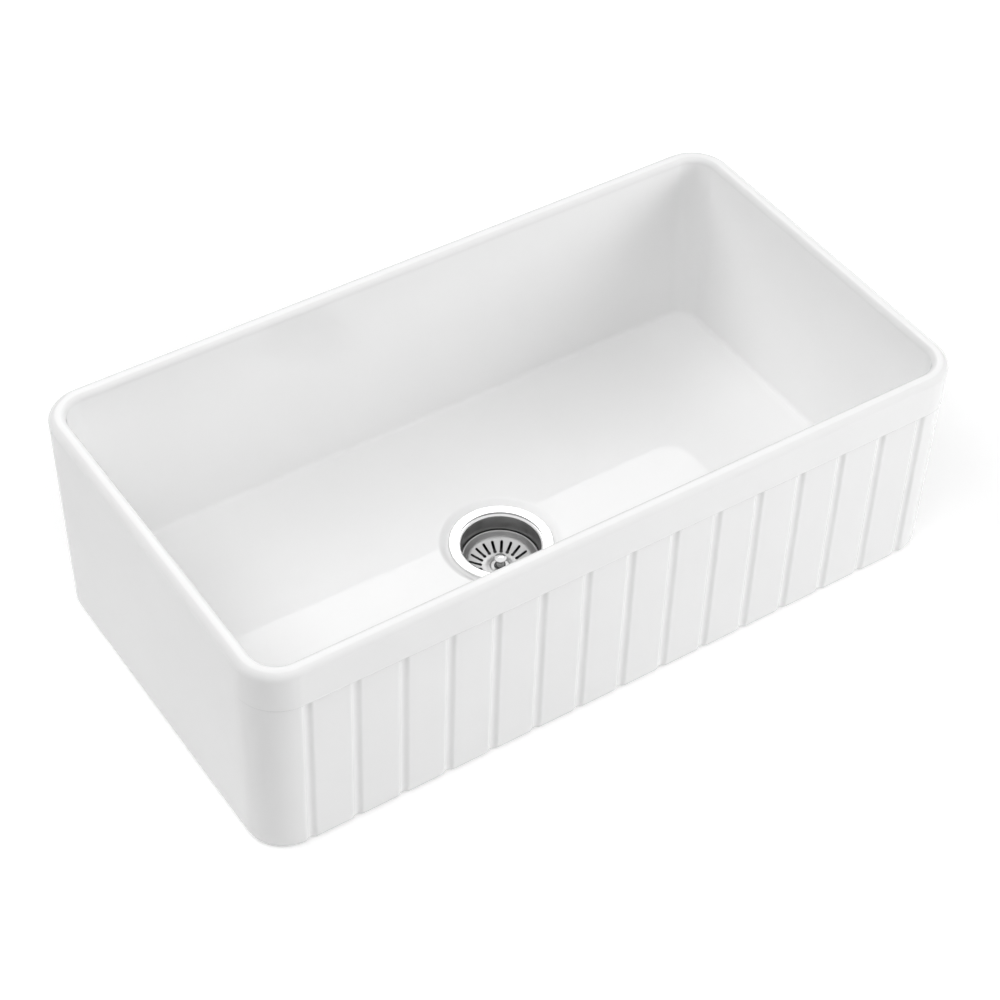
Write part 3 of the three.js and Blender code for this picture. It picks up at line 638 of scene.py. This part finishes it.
def make_coupling_nut():
    """The ribbed nut that holds the tailpiece's flange up against the outlet."""
    low, high, _ = node_span("coupling_nut")
    throat, bore = TAIL_RADIUS + FIT_GAP, STUB_RADIUS + FIT_GAP
    outer = bore + COUPLING_WALL
    shoulder = node_span("tailpiece")[1] - TAIL_FLANGE - FIT_GAP
    reach = COUPLING_RIB_REACH

    def ribs(angle, z):
        return max(math.cos(COUPLING_RIBS * angle), 0) ** COUPLING_RIB_FULLNESS

    outline = [
        (throat, low + COUPLING_THROAT_CHAMFER),
        (throat + COUPLING_THROAT_CHAMFER, low),
        *[(outer - inward, low + up, reach * share) for inward, up, share in COUPLING_EDGE],
        *[(outer - inward, high - up, reach * share) for inward, up, share in COUPLING_EDGE[::-1]],
        (bore + COUPLING_BORE_CHAMFER, high),
        (bore, high - COUPLING_BORE_CHAMFER),
        (bore, shoulder),
        (throat, shoulder),
    ]
    return turned("coupling_nut_turned", outline, ribs, COUPLING_RIBS * RIB_SEGMENTS)


def make_tailpiece():
    """The light-gauge tube under the outlet, with its flange turned out at the top."""
    low, high, flange = node_span("tailpiece")
    bore = TAIL_RADIUS - TAIL_WALL
    under = high - TAIL_FLANGE
    cut, rim, mouth = TAIL_CUT_EASE, TAIL_FLANGE_EASE, TAIL_MOUTH_EASE
    outline = [
        (bore, low + cut), (bore + cut, low), (TAIL_RADIUS - cut, low), (TAIL_RADIUS, low + cut),
        *arc(TAIL_RADIUS + TAIL_BEND, under - TAIL_BEND, TAIL_BEND, 180, 90),
        (flange - rim, under), (flange, under + rim), (flange, high - rim), (flange - rim, high),
        (bore + mouth, high), (bore, high - mouth),
    ]
    return turned("tailpiece_drawn", outline)


# ---------------------------------------------------------------- basket

def basket_outline():
    """The rolled rim, the sloping side, the slotted floor and the hub, as one sheet."""
    roll_middle = CUP_RADIUS - BASKET_CLEARANCE - ROLL_RADIUS
    wall = CUP_RADIUS - LEDGE_REACH - BASKET_CLEARANCE - BASKET_SHEET
    line = arc(roll_middle, BASKET_RIM_TOP - ROLL_RADIUS, ROLL_RADIUS, -90, 135, 12)
    line += spline([
        (wall, LEDGE_TOP),
        (SLOT_OUTER_RADIUS, BASKET_FLOOR + SLOT_RISE),
        (SLOT_INNER_RADIUS, BASKET_FLOOR),
        (HUB_RADIUS, BASKET_FLOOR),
    ])
    line += spline([
        (HUB_RADIUS - HUB_SLOPE / 4, BASKET_FLOOR + HUB_RISE / 6),
        (HUB_RADIUS - HUB_SLOPE * 3 / 4, HUB_TOP - HUB_RISE / 6),
        (HUB_RADIUS - HUB_SLOPE, HUB_TOP),
    ], 3)
    line.append((BUSH_BODY_RADIUS + FIT_GAP, HUB_TOP))
    return [*line, *thicken(line, BASKET_SHEET)]


def slot_cutter():
    """All the keyhole slots as one mesh, to be cut from the basket."""
    half = SLOT_WIDTH / 2
    eye = SLOT_INNER_RADIUS + SLOT_EYE_RADIUS
    meet = math.degrees(math.asin(half / SLOT_EYE_RADIUS))
    plan = arc(SLOT_OUTER_RADIUS - half, 0, half, -90, 90, 8)
    plan += arc(eye, 0, SLOT_EYE_RADIUS, meet, 360 - meet, 12)
    count = len(plan)
    walls = ring_faces(2, count, False)
    ends = [tuple(range(count - 1, -1, -1)), tuple(range(count, 2 * count))]
    verts, faces = [], []
    for i in range(SLOT_COUNT):
        turn = Matrix.Rotation(2 * math.pi * i / SLOT_COUNT, 3, "Z")
        start = len(verts)
        for z in (BASKET_FLOOR - DISH_DEPTH, BASKET_FLOOR + DISH_DEPTH):
            verts += [tuple(turn @ Vector((x, y, z))) for x, y in plan]
        faces += [tuple(start + j for j in row) for row in [*walls, *ends]]
    return add_object("slot_cutter", verts, faces)


def make_basket():
    """The pressed sheet with its keyhole slots cut out."""
    obj = turned("basket_pressed", basket_outline())
    obj.modifiers.clear()
    cutter = slot_cutter()
    cut = obj.modifiers.new("slots", "BOOLEAN")
    cut.operation = "DIFFERENCE"
    cut.solver = "EXACT"
    cut.object = cutter
    graph = bpy.context.evaluated_depsgraph_get()
    pierced = bpy.data.meshes.new_from_object(obj.evaluated_get(graph))
    obj.modifiers.clear()
    obj.data = pierced
    bpy.data.objects.remove(cutter)
    return smooth(obj)


def make_bush():
    """The lobed head under the knob, on the tube that guides the post."""
    bore = POST_RADIUS + FIT_GAP
    foot = node_span("basket_bush")[0]
    ease = BUSH_EDGE_ROUND
    under = HUB_TOP + FIT_GAP
    reach = BUSH_LOBE_RADIUS - BUSH_WAIST_RADIUS

    def lobes(angle, z):
        return (1 + math.sin(BUSH_LOBES * angle)) / 2

    outline = [
        (bore, foot + ease), (bore + ease, foot), (BUSH_BODY_RADIUS - ease, foot),
        (BUSH_BODY_RADIUS, foot + ease), (BUSH_BODY_RADIUS, under),
        (BUSH_WAIST_RADIUS, under, reach), (BUSH_WAIST_RADIUS, BUSH_TOP - ease, reach),
        (BUSH_WAIST_RADIUS - ease, BUSH_TOP, reach), (bore, BUSH_TOP),
    ]
    return turned("basket_bush_moulded", outline, lobes)


def make_friction_ring():
    """The rubber ring of round section that grips the post."""
    low, high, _ = node_span("friction_ring")
    radius = (high - low) / 2
    middle = POST_RADIUS + FIT_GAP + radius
    last = 360 - 360 / RING_SIDES
    outline = arc(middle, (low + high) / 2, radius, 0, last, RING_SIDES - 1)
    return turned("friction_ring_round", outline, segments=SMALL_SEGMENTS)


# ---------------------------------------------------------------- pull-up stopper

def make_knob():
    """The knob: a waisted stem under a flat, slightly crowned cap, with a socket for the post."""
    socket_top = KNOB_TOP - KNOB_CAP
    flat = KNOB_RADIUS - KNOB_EDGE_ROUND
    bore = POST_RADIUS + FIT_GAP
    crown = KNOB_CAP - 2 * KNOB_EDGE_ROUND
    outline = [(0, socket_top), (bore, socket_top), (bore, KNOB_FOOT)]
    outline += spline([
        (KNOB_FOOT_RADIUS, KNOB_FOOT),
        (KNOB_WAIST_RADIUS, (KNOB_FOOT + socket_top) / 2),
        (flat, socket_top),
    ])[:-1]
    outline += arc(flat, socket_top + KNOB_EDGE_ROUND, KNOB_EDGE_ROUND, -90, 90, 12)
    outline += [(flat * (1 - t), KNOB_TOP - crown * (1 - t) ** 2) for t in CROWN_ROWS]
    return turned("knob_turned", outline)


def make_post():
    """The post with the collar that lies on the stopper plate."""
    low, high, collar = node_span("post")
    foot = node_span("stopper_plate")[1] + FIT_GAP
    head = foot + POST_COLLAR_HEIGHT
    tip, ease = POST_RADIUS - POST_END_EASE, POST_COLLAR_EASE
    outline = [
        (0, low), (tip, low), (POST_RADIUS, low + POST_END_EASE), (POST_RADIUS, foot),
        (collar - ease, foot), (collar, foot + ease), (collar, head - ease), (collar - ease, head),
        (POST_RADIUS, head), (POST_RADIUS, high - POST_END_EASE), (tip, high), (0, high),
    ]
    return turned("post_turned", outline, segments=SMALL_SEGMENTS)


def make_stopper_rubber():
    """The rubber disc whose sloping edge closes the outlet of the cup."""
    low, high, outer = node_span("stopper_rubber")
    bore = POST_RADIUS + FIT_GAP
    foot = OUTLET_RADIUS - FIT_GAP
    edge = low + (outer - foot) * STOPPER_SEAT_DROP / (STOPPER_SEAT_RADIUS - OUTLET_RADIUS)
    lip = RUBBER_LIP_ROUND
    outline = [
        (bore, low), (foot - RUBBER_FOOT_EASE, low), (foot, low + RUBBER_SLOPE_EASE),
        (outer - RUBBER_EDGE_EASE, edge - RUBBER_SLOPE_EASE), (outer, edge + RUBBER_EDGE_EASE),
        *arc(outer - lip, high - lip, lip, 0, 90), (bore, high),
    ]
    return turned("stopper_rubber_moulded", outline)


def make_stopper_nut():
    """The hexagon nut that holds plate and rubber on the post."""
    low, high, corner = node_span("stopper_nut")
    side = math.pi / 3
    apothem = corner * math.cos(side / 2)
    bore, reach = POST_RADIUS + FIT_GAP, corner - apothem
    chamfer, edge, up = STOPPER_NUT_CHAMFER, apothem - STOPPER_NUT_EDGE_IN, STOPPER_NUT_EDGE_UP

    def hexagon(angle, z):
        aside = (angle % side) - side / 2
        return (apothem / math.cos(aside) - apothem) / reach

    outline = [
        (bore, low + chamfer), (bore + chamfer, low), (edge, low), (apothem, low + up, reach),
        (apothem, high - up, reach), (edge, high), (bore + chamfer, high), (bore, high - chamfer),
    ]
    return turned("stopper_nut_hexagon", outline, hexagon, 6 * HEXAGON_SEGMENTS)


# ---------------------------------------------------------------- materials

RIM_EDGE_PAINTED_SHADE = 0.94  # painted shade on the rim's rounded edges: their brightness against the rest of the glaze
METAL_CLOUDING = 0.02  # share by which a metal's tone varies
MATT_VARIATION = 0.08  # by which the roughness of matt surfaces varies
BRASS_TINT = (1.0, 0.80, 0.46)


def new_material(name, **sockets):
    """A material with its nodes and links, and its shader with values set on sockets by name."""
    material = bpy.data.materials.new(name)
    material.use_nodes = True
    shader = material.node_tree.nodes["Principled BSDF"]
    for key, value in sockets.items():
        shader.inputs[key.replace("_", " ")].default_value = value
    return material, material.node_tree.nodes, material.node_tree.links, shader


def noise(nodes, links, coordinates, scale, detail=3.0, roughness=0.5):
    """Soft noise about 0.5; scale counts its waves in a metre."""
    node = nodes.new("ShaderNodeTexNoise")
    node.inputs["Scale"].default_value = scale
    node.inputs["Detail"].default_value = detail
    node.inputs["Roughness"].default_value = roughness
    links.new(coordinates, node.inputs["Vector"])
    return node.outputs["Fac"]


def ramp(nodes, links, value, stops):
    """Turns a value into a colour by stops of (value, colour)."""
    node = nodes.new("ShaderNodeValToRGB")
    while len(node.color_ramp.elements) < len(stops):
        node.color_ramp.elements.new(0.5)
    for element, (place, colour) in zip(node.color_ramp.elements, stops):
        element.position = place
        element.color = (*colour, 1)
    links.new(value, node.inputs["Fac"])
    return node.outputs["Color"]


def span(nodes, links, value, low, high, start=0.0, end=1.0):
    """Maps a value that goes from start to end on to a range."""
    node = nodes.new("ShaderNodeMapRange")
    node.inputs["From Min"].default_value = start
    node.inputs["From Max"].default_value = end
    node.inputs["To Min"].default_value = low
    node.inputs["To Max"].default_value = high
    links.new(value, node.inputs["Value"])
    return node.outputs["Result"]


def bump(nodes, links, shader, height, distance):
    """Relief on a shader; distance is its depth in metres."""
    node = nodes.new("ShaderNodeBump")
    node.inputs["Strength"].default_value = 1.0
    node.inputs["Distance"].default_value = distance
    links.new(height, node.inputs["Height"])
    links.new(node.outputs["Normal"], shader.inputs["Normal"])


def grey(value):
    return (value, value, value)


def object_coordinates(nodes):
    return nodes.new("ShaderNodeTexCoord").outputs["Object"]


def on_rim_edges(nodes, links, place):
    """Mask of the painted shade on the rim: 1 on its rounded edges, and 0 on its flat and below it."""
    split = nodes.new("ShaderNodeSeparateXYZ")
    links.new(place, split.inputs["Vector"])
    foot, top = (BASIN_HEIGHT - RIM_OUTER_ROUND) * MM, BASIN_HEIGHT * MM
    up_the_edge = span(nodes, links, split.outputs["Z"], 0, 1, foot, top)
    stops = [(0, grey(0)), (0.4, grey(1)), (0.97, grey(1)), (1, grey(0))]
    return ramp(nodes, links, up_the_edge, stops)


def glaze_material():
    """White gloss glaze, with painted shade that makes the rounded edges of the rim a little darker."""
    material, nodes, links, shader = new_material("glaze", IOR=1.5)
    place = object_coordinates(nodes)
    cloud = noise(nodes, links, place, scale=9, detail=4)
    full = ramp(nodes, links, cloud, [(0.3, grey(0.925)), (0.7, grey(0.94))])
    # painted shade: the glaze's colour is multiplied down on the rim's rounded edges
    rim_shade = nodes.new("ShaderNodeMix")
    rim_shade.data_type = "RGBA"
    rim_shade.blend_type = "MULTIPLY"
    rim_shade.inputs["B"].default_value = (*grey(RIM_EDGE_PAINTED_SHADE), 1)
    links.new(on_rim_edges(nodes, links, place), rim_shade.inputs["Factor"])
    links.new(full, rim_shade.inputs["A"])
    links.new(rim_shade.outputs["Result"], shader.inputs["Base Color"])
    film = noise(nodes, links, place, scale=60)
    links.new(span(nodes, links, film, 0.01, 0.04), shader.inputs["Roughness"])
    ripple = noise(nodes, links, place, scale=22, detail=2)
    bump(nodes, links, shader, ripple, distance=0.00008)
    return material


def biscuit_material():
    """The unglazed fireclay under the basin."""
    material, nodes, links, shader = new_material("biscuit", Roughness=0.85)
    place = object_coordinates(nodes)
    grain = noise(nodes, links, place, scale=700, detail=6, roughness=0.7)
    tones = [(0.3, (0.60, 0.55, 0.47)), (0.7, (0.72, 0.67, 0.59))]
    links.new(ramp(nodes, links, grain, tones), shader.inputs["Base Color"])
    bump(nodes, links, shader, grain, distance=0.0003)
    return material


def turned_coordinates(nodes, links, around):
    """Coordinates by radius and height, which change little round the Z axis, for marks in circles."""
    split = nodes.new("ShaderNodeSeparateXYZ")
    links.new(object_coordinates(nodes), split.inputs["Vector"])
    length = nodes.new("ShaderNodeVectorMath")
    length.operation = "LENGTH"
    flat = nodes.new("ShaderNodeCombineXYZ")
    links.new(split.outputs["X"], flat.inputs["X"])
    links.new(split.outputs["Y"], flat.inputs["Y"])
    links.new(flat.outputs["Vector"], length.inputs[0])
    made = nodes.new("ShaderNodeCombineXYZ")
    links.new(length.outputs["Value"], made.inputs["X"])
    links.new(split.outputs["Z"], made.inputs["Y"])
    slow = nodes.new("ShaderNodeVectorMath")
    slow.operation = "SCALE"
    slow.inputs["Scale"].default_value = around
    links.new(flat.outputs["Vector"], slow.inputs[0])
    total = nodes.new("ShaderNodeVectorMath")
    total.operation = "ADD"
    links.new(made.outputs["Vector"], total.inputs[0])
    links.new(slow.outputs["Vector"], total.inputs[1])
    return total.outputs["Vector"]


def turned_metal(name, tone, smoothest, roughest, scratch=0.00002, tint=(1, 1, 1)):
    """Metal with fine marks that run round the drain's axis."""
    material, nodes, links, shader = new_material(name, Metallic=1.0)
    place = turned_coordinates(nodes, links, around=0.04)
    marks = noise(nodes, links, place, scale=2600, detail=4, roughness=0.6)
    cloud = noise(nodes, links, object_coordinates(nodes), scale=120)
    light = [min(c * tone * (1 + METAL_CLOUDING), 1) for c in tint]
    dark = [c * tone * (1 - METAL_CLOUDING) for c in tint]
    links.new(ramp(nodes, links, cloud, [(0.3, dark), (0.7, light)]), shader.inputs["Base Color"])
    links.new(span(nodes, links, marks, smoothest, roughest), shader.inputs["Roughness"])
    bump(nodes, links, shader, marks, distance=scratch)
    return material


def matt_material(name, dark, light, roughness, grain_scale, depth):
    """Rubber, fibre and moulded plastic: a fine grain over slightly uneven colour."""
    material, nodes, links, shader = new_material(name)
    place = object_coordinates(nodes)
    cloud = noise(nodes, links, place, scale=grain_scale / 8)
    links.new(ramp(nodes, links, cloud, [(0.3, dark), (0.7, light)]), shader.inputs["Base Color"])
    grain = noise(nodes, links, place, scale=grain_scale, detail=4)
    varied = span(nodes, links, grain, roughness - MATT_VARIATION, roughness + MATT_VARIATION)
    links.new(varied, shader.inputs["Roughness"])
    bump(nodes, links, shader, grain, distance=depth)
    return material


def cast_material():
    """Dull cast zinc with a grainy skin."""
    material, nodes, links, shader = new_material("cast_zinc", Metallic=1.0)
    place = object_coordinates(nodes)
    grain = noise(nodes, links, place, scale=900, detail=5, roughness=0.7)
    tones = [(0.3, grey(0.42)), (0.7, grey(0.56))]
    links.new(ramp(nodes, links, grain, tones), shader.inputs["Base Color"])
    links.new(span(nodes, links, grain, 0.42, 0.62), shader.inputs["Roughness"])
    bump(nodes, links, shader, grain, distance=0.00015)
    return material


MATERIALS = {
    "glaze": glaze_material(),
    "biscuit": biscuit_material(),
    "polished": turned_metal("polished_steel", tone=0.82, smoothest=0.06, roughest=0.14),
    # the cup's darker steel is partly a duller finish and partly painted shade
    "cup": turned_metal("cup_steel_and_painted_shade", tone=0.40, smoothest=0.26, roughest=0.32, scratch=0.000004),
    # painted shade deep in the cup, below its ledge
    "sump": turned_metal("sump_painted_shade", tone=0.20, smoothest=0.34, roughest=0.44, scratch=0.000004),
    "brushed": turned_metal("brushed_steel", tone=0.60, smoothest=0.26, roughest=0.38, scratch=0.000008),
    "tube": turned_metal("drawn_tube", tone=0.70, smoothest=0.22, roughest=0.34),
    "brass": turned_metal("turned_brass", tone=0.74, smoothest=0.25, roughest=0.38, tint=BRASS_TINT),
    "zinc": cast_material(),
    "black_rubber": matt_material(
        "black_rubber", dark=grey(0.018), light=grey(0.032),
        roughness=0.75, grain_scale=1500, depth=0.00008),
    "white_rubber": matt_material(
        "white_rubber", dark=grey(0.62), light=grey(0.70),
        roughness=0.6, grain_scale=1500, depth=0.00005),
    "fibre": matt_material(
        "washer_fibre", dark=(0.33, 0.25, 0.16), light=(0.47, 0.37, 0.26),
        roughness=0.85, grain_scale=2200, depth=0.0001),
    "nylon": matt_material(
        "nylon", dark=grey(0.045), light=grey(0.065),
        roughness=0.42, grain_scale=1200, depth=0.00003),
}


def dress(node, obj, body, slot, *keys):
    """Gives a piece its materials and its body, and lets it stand for its CAD node."""
    for key in keys:
        obj.data.materials.append(MATERIALS[key])
    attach(obj, body)
    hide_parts(node)


def dress_washer(node, bore, ease, body, slot, key):
    """Makes the ring that stands for a washer's CAD node, and dresses it."""
    dress(node, washer(node, bore, ease), body, slot, key)


# ---------------------------------------------------------------- pieces

STACK_BORE = SHANK_RADIUS + FIT_GAP
POST_BORE = POST_RADIUS + FIT_GAP
SEAL_BORE = FLANGE_RADIUS - SHEET - FIT_GAP - SEAL_WIDTH
RETAINER_BORE = BUSH_BODY_RADIUS + FIT_GAP

dress("basin", make_basin(), "sink", "glazed_fireclay", "glaze", "biscuit")
dress("strainer_body", make_strainer(), "sink", "polished_steel", "polished", "cup", "sump", "tube")
dress("strainer_body", make_crossbars(), "sink", "polished_steel", "brushed")
dress_washer("flange_seal", SEAL_BORE, 0.4, "sink", "white_rubber", "white_rubber")
dress_washer("under_gasket", STACK_BORE, 0.5, "sink", "black_rubber", "black_rubber")
dress_washer("friction_washer", STACK_BORE, 0.2, "sink", "washer_fibre", "fibre")
dress("lock_nut", make_lock_nut(), "sink", "cast_metal", "zinc")
dress_washer("tailpiece_washer", TAIL_RADIUS, 0.3, "sink", "white_rubber", "white_rubber")
dress("tailpiece", make_tailpiece(), "sink", "brushed_steel", "tube")
dress("coupling_nut", make_coupling_nut(), "sink", "brass", "brass")

dress("basket_shell", make_basket(), "basket", "brushed_steel", "brushed")
dress("basket_bush", make_bush(), "basket", "nylon", "nylon")
dress_washer("bush_retainer", RETAINER_BORE, 0.2, "basket", "brushed_steel", "brushed")
dress("friction_ring", make_friction_ring(), "basket", "black_rubber", "black_rubber")

dress("knob", make_knob(), "stopper", "polished_steel", "polished")
dress("post", make_post(), "stopper", "brushed_steel", "brushed")
dress_washer("stopper_plate", POST_BORE, 0.4, "stopper", "brushed_steel", "brushed")
dress("stopper_rubber", make_stopper_rubber(), "stopper", "black_rubber", "black_rubber")
dress("stopper_nut", make_stopper_nut(), "stopper", "brass", "brass")


# ---------------------------------------------------------------- floor, light and camera

def seen_directly(nodes, links):
    """1 for a camera, glossy or transmission ray, 0 for the diffuse light that falls on the object."""
    path = nodes.new("ShaderNodeLightPath")
    seen = path.outputs["Is Camera Ray"]
    for ray in ("Is Glossy Ray", "Is Transmission Ray"):
        either = nodes.new("ShaderNodeMath")
        either.operation = "MAXIMUM"
        links.new(seen, either.inputs[0])
        links.new(path.outputs[ray], either.inputs[1])
        seen = either.outputs["Value"]
    return seen


def floor_material():
    """White that shows as white to the eye and in gloss, and still takes the object's shadow."""
    material, nodes, links, shader = new_material("floor_white", Roughness=0.9)
    place = object_coordinates(nodes)
    grain = noise(nodes, links, place, scale=4, detail=2)
    tones = [(0.3, grey(0.84)), (0.7, grey(0.86))]
    links.new(ramp(nodes, links, grain, tones), shader.inputs["Base Color"])
    distance = nodes.new("ShaderNodeVectorMath")
    distance.operation = "LENGTH"
    links.new(place, distance.inputs[0])
    level = span(nodes, links, distance.outputs["Value"], FLOOR_GLOW, 1.0, *FLOOR_FADE)
    gain = nodes.new("ShaderNodeMath")
    gain.operation = "MULTIPLY"
    links.new(seen_directly(nodes, links), gain.inputs[0])
    links.new(level, gain.inputs[1])
    glow = nodes.new("ShaderNodeEmission")
    links.new(gain.outputs["Value"], glow.inputs["Strength"])
    total = nodes.new("ShaderNodeAddShader")
    links.new(shader.outputs["BSDF"], total.inputs[0])
    links.new(glow.outputs["Emission"], total.inputs[1])
    links.new(total.outputs["Shader"], nodes["Material Output"].inputs["Surface"])
    return material


def make_floor():
    """A white plane just under the basin, with a round hole that the drain hangs through."""
    hole, reach, level = 80.0, 6000.0, -0.5
    count = 96
    angles = [2 * math.pi * i / count for i in range(count)]
    radii = (hole, hole * 4, reach)
    verts = [(r * math.cos(a), r * math.sin(a), level) for r in radii for a in angles]
    floor = add_object("floor", verts, ring_faces(len(radii), count, False))
    floor.data.materials.append(floor_material())


def make_world():
    """White behind everything that is seen directly, and a weak even fill for diffuse light."""
    world = bpy.data.worlds.new("studio")
    bpy.context.scene.world = world
    world.use_nodes = True
    nodes, links = world.node_tree.nodes, world.node_tree.links
    nodes.clear()
    fill = nodes.new("ShaderNodeBackground")
    white = nodes.new("ShaderNodeBackground")
    for background in (fill, white):
        background.inputs["Color"].default_value = (*grey(1), 1)
    fill.inputs["Strength"].default_value = FILL_LEVEL
    pick = nodes.new("ShaderNodeMixShader")
    links.new(seen_directly(nodes, links), pick.inputs["Fac"])
    links.new(fill.outputs["Background"], pick.inputs[1])
    links.new(white.outputs["Background"], pick.inputs[2])
    output = nodes.new("ShaderNodeOutputWorld")
    links.new(pick.outputs["Shader"], output.inputs["Surface"])


def softbox(name, heading, height, spread, tilt, radiance, mirrored=False):
    """A rectangular lamp that faces the sink: one that lights it, or one that shows as a reflection.

    heading and height are its direction from the sink in degrees, spread and tilt half the angles that
    it takes up across and upwards, and radiance is its brightness, where the white background is 1.
    """
    turn, rise = math.radians(heading), math.radians(height)
    away = Vector((math.cos(turn) * math.cos(rise), math.sin(turn) * math.cos(rise), math.sin(rise)))
    lamp = bpy.data.lights.new(name, "AREA")
    lamp.shape = "RECTANGLE"
    lamp.size = 2 * LAMP_DISTANCE * math.tan(math.radians(spread))
    lamp.size_y = 2 * LAMP_DISTANCE * math.tan(math.radians(tilt))
    lamp.energy = radiance * math.pi * lamp.size * lamp.size_y
    obj = bpy.data.objects.new(name, lamp)
    bpy.context.scene.collection.objects.link(obj)
    obj.location = LAMP_TARGET + away * LAMP_DISTANCE
    obj.rotation_euler = (-away).to_track_quat("-Z", "Y").to_euler()
    obj.visible_glossy = mirrored
    obj.visible_diffuse = not mirrored
    obj.visible_camera = False


def make_camera():
    """The photograph's view, worked out from the sink's outline in it."""
    forward = CAMERA_FORWARD.normalized()
    right = (CAMERA_RIGHT - forward * CAMERA_RIGHT.dot(forward)).normalized()
    up = right.cross(forward)
    turn = Matrix((right, up, -forward)).transposed().to_4x4()
    data = bpy.data.cameras.new("camera")
    data.lens = CAMERA_LENS
    data.sensor_width = 36.0
    data.clip_start = 0.05
    data.clip_end = 50.0
    camera = bpy.data.objects.new("camera", data)
    bpy.context.scene.collection.objects.link(camera)
    camera.matrix_world = Matrix.Translation(CAMERA_PLACE) @ turn
    bpy.context.scene.camera = camera


make_floor()
make_world()
softbox("front_right_softbox", heading=-45, height=22, spread=20, tilt=14, radiance=4.0)
softbox("low_front_right_softbox", heading=-45, height=10, spread=20, tilt=9, radiance=0.8)
softbox("left_softbox", heading=180, height=40, spread=20, tilt=14, radiance=0.5)
softbox("front_left_softbox", heading=-135, height=58, spread=20, tilt=14, radiance=2.4)
softbox("high_front_left_softbox", heading=-135, height=72, spread=18, tilt=18, radiance=1.0)
softbox("back_left_softbox", heading=135, height=50, spread=20, tilt=14, radiance=3.0)
softbox("back_right_softbox", heading=45, height=45, spread=20, tilt=14, radiance=1.1)
softbox("back_reflector", heading=55, height=44, spread=19, tilt=11, radiance=1.35, mirrored=True)
softbox("front_reflector", heading=-57, height=41, spread=12, tilt=8, radiance=0.4, mirrored=True)
softbox("horizon_reflector", heading=50, height=11, spread=32, tilt=6, radiance=1.5, mirrored=True)
make_camera()
bpy.context.scene.view_settings.view_transform = "Standard"
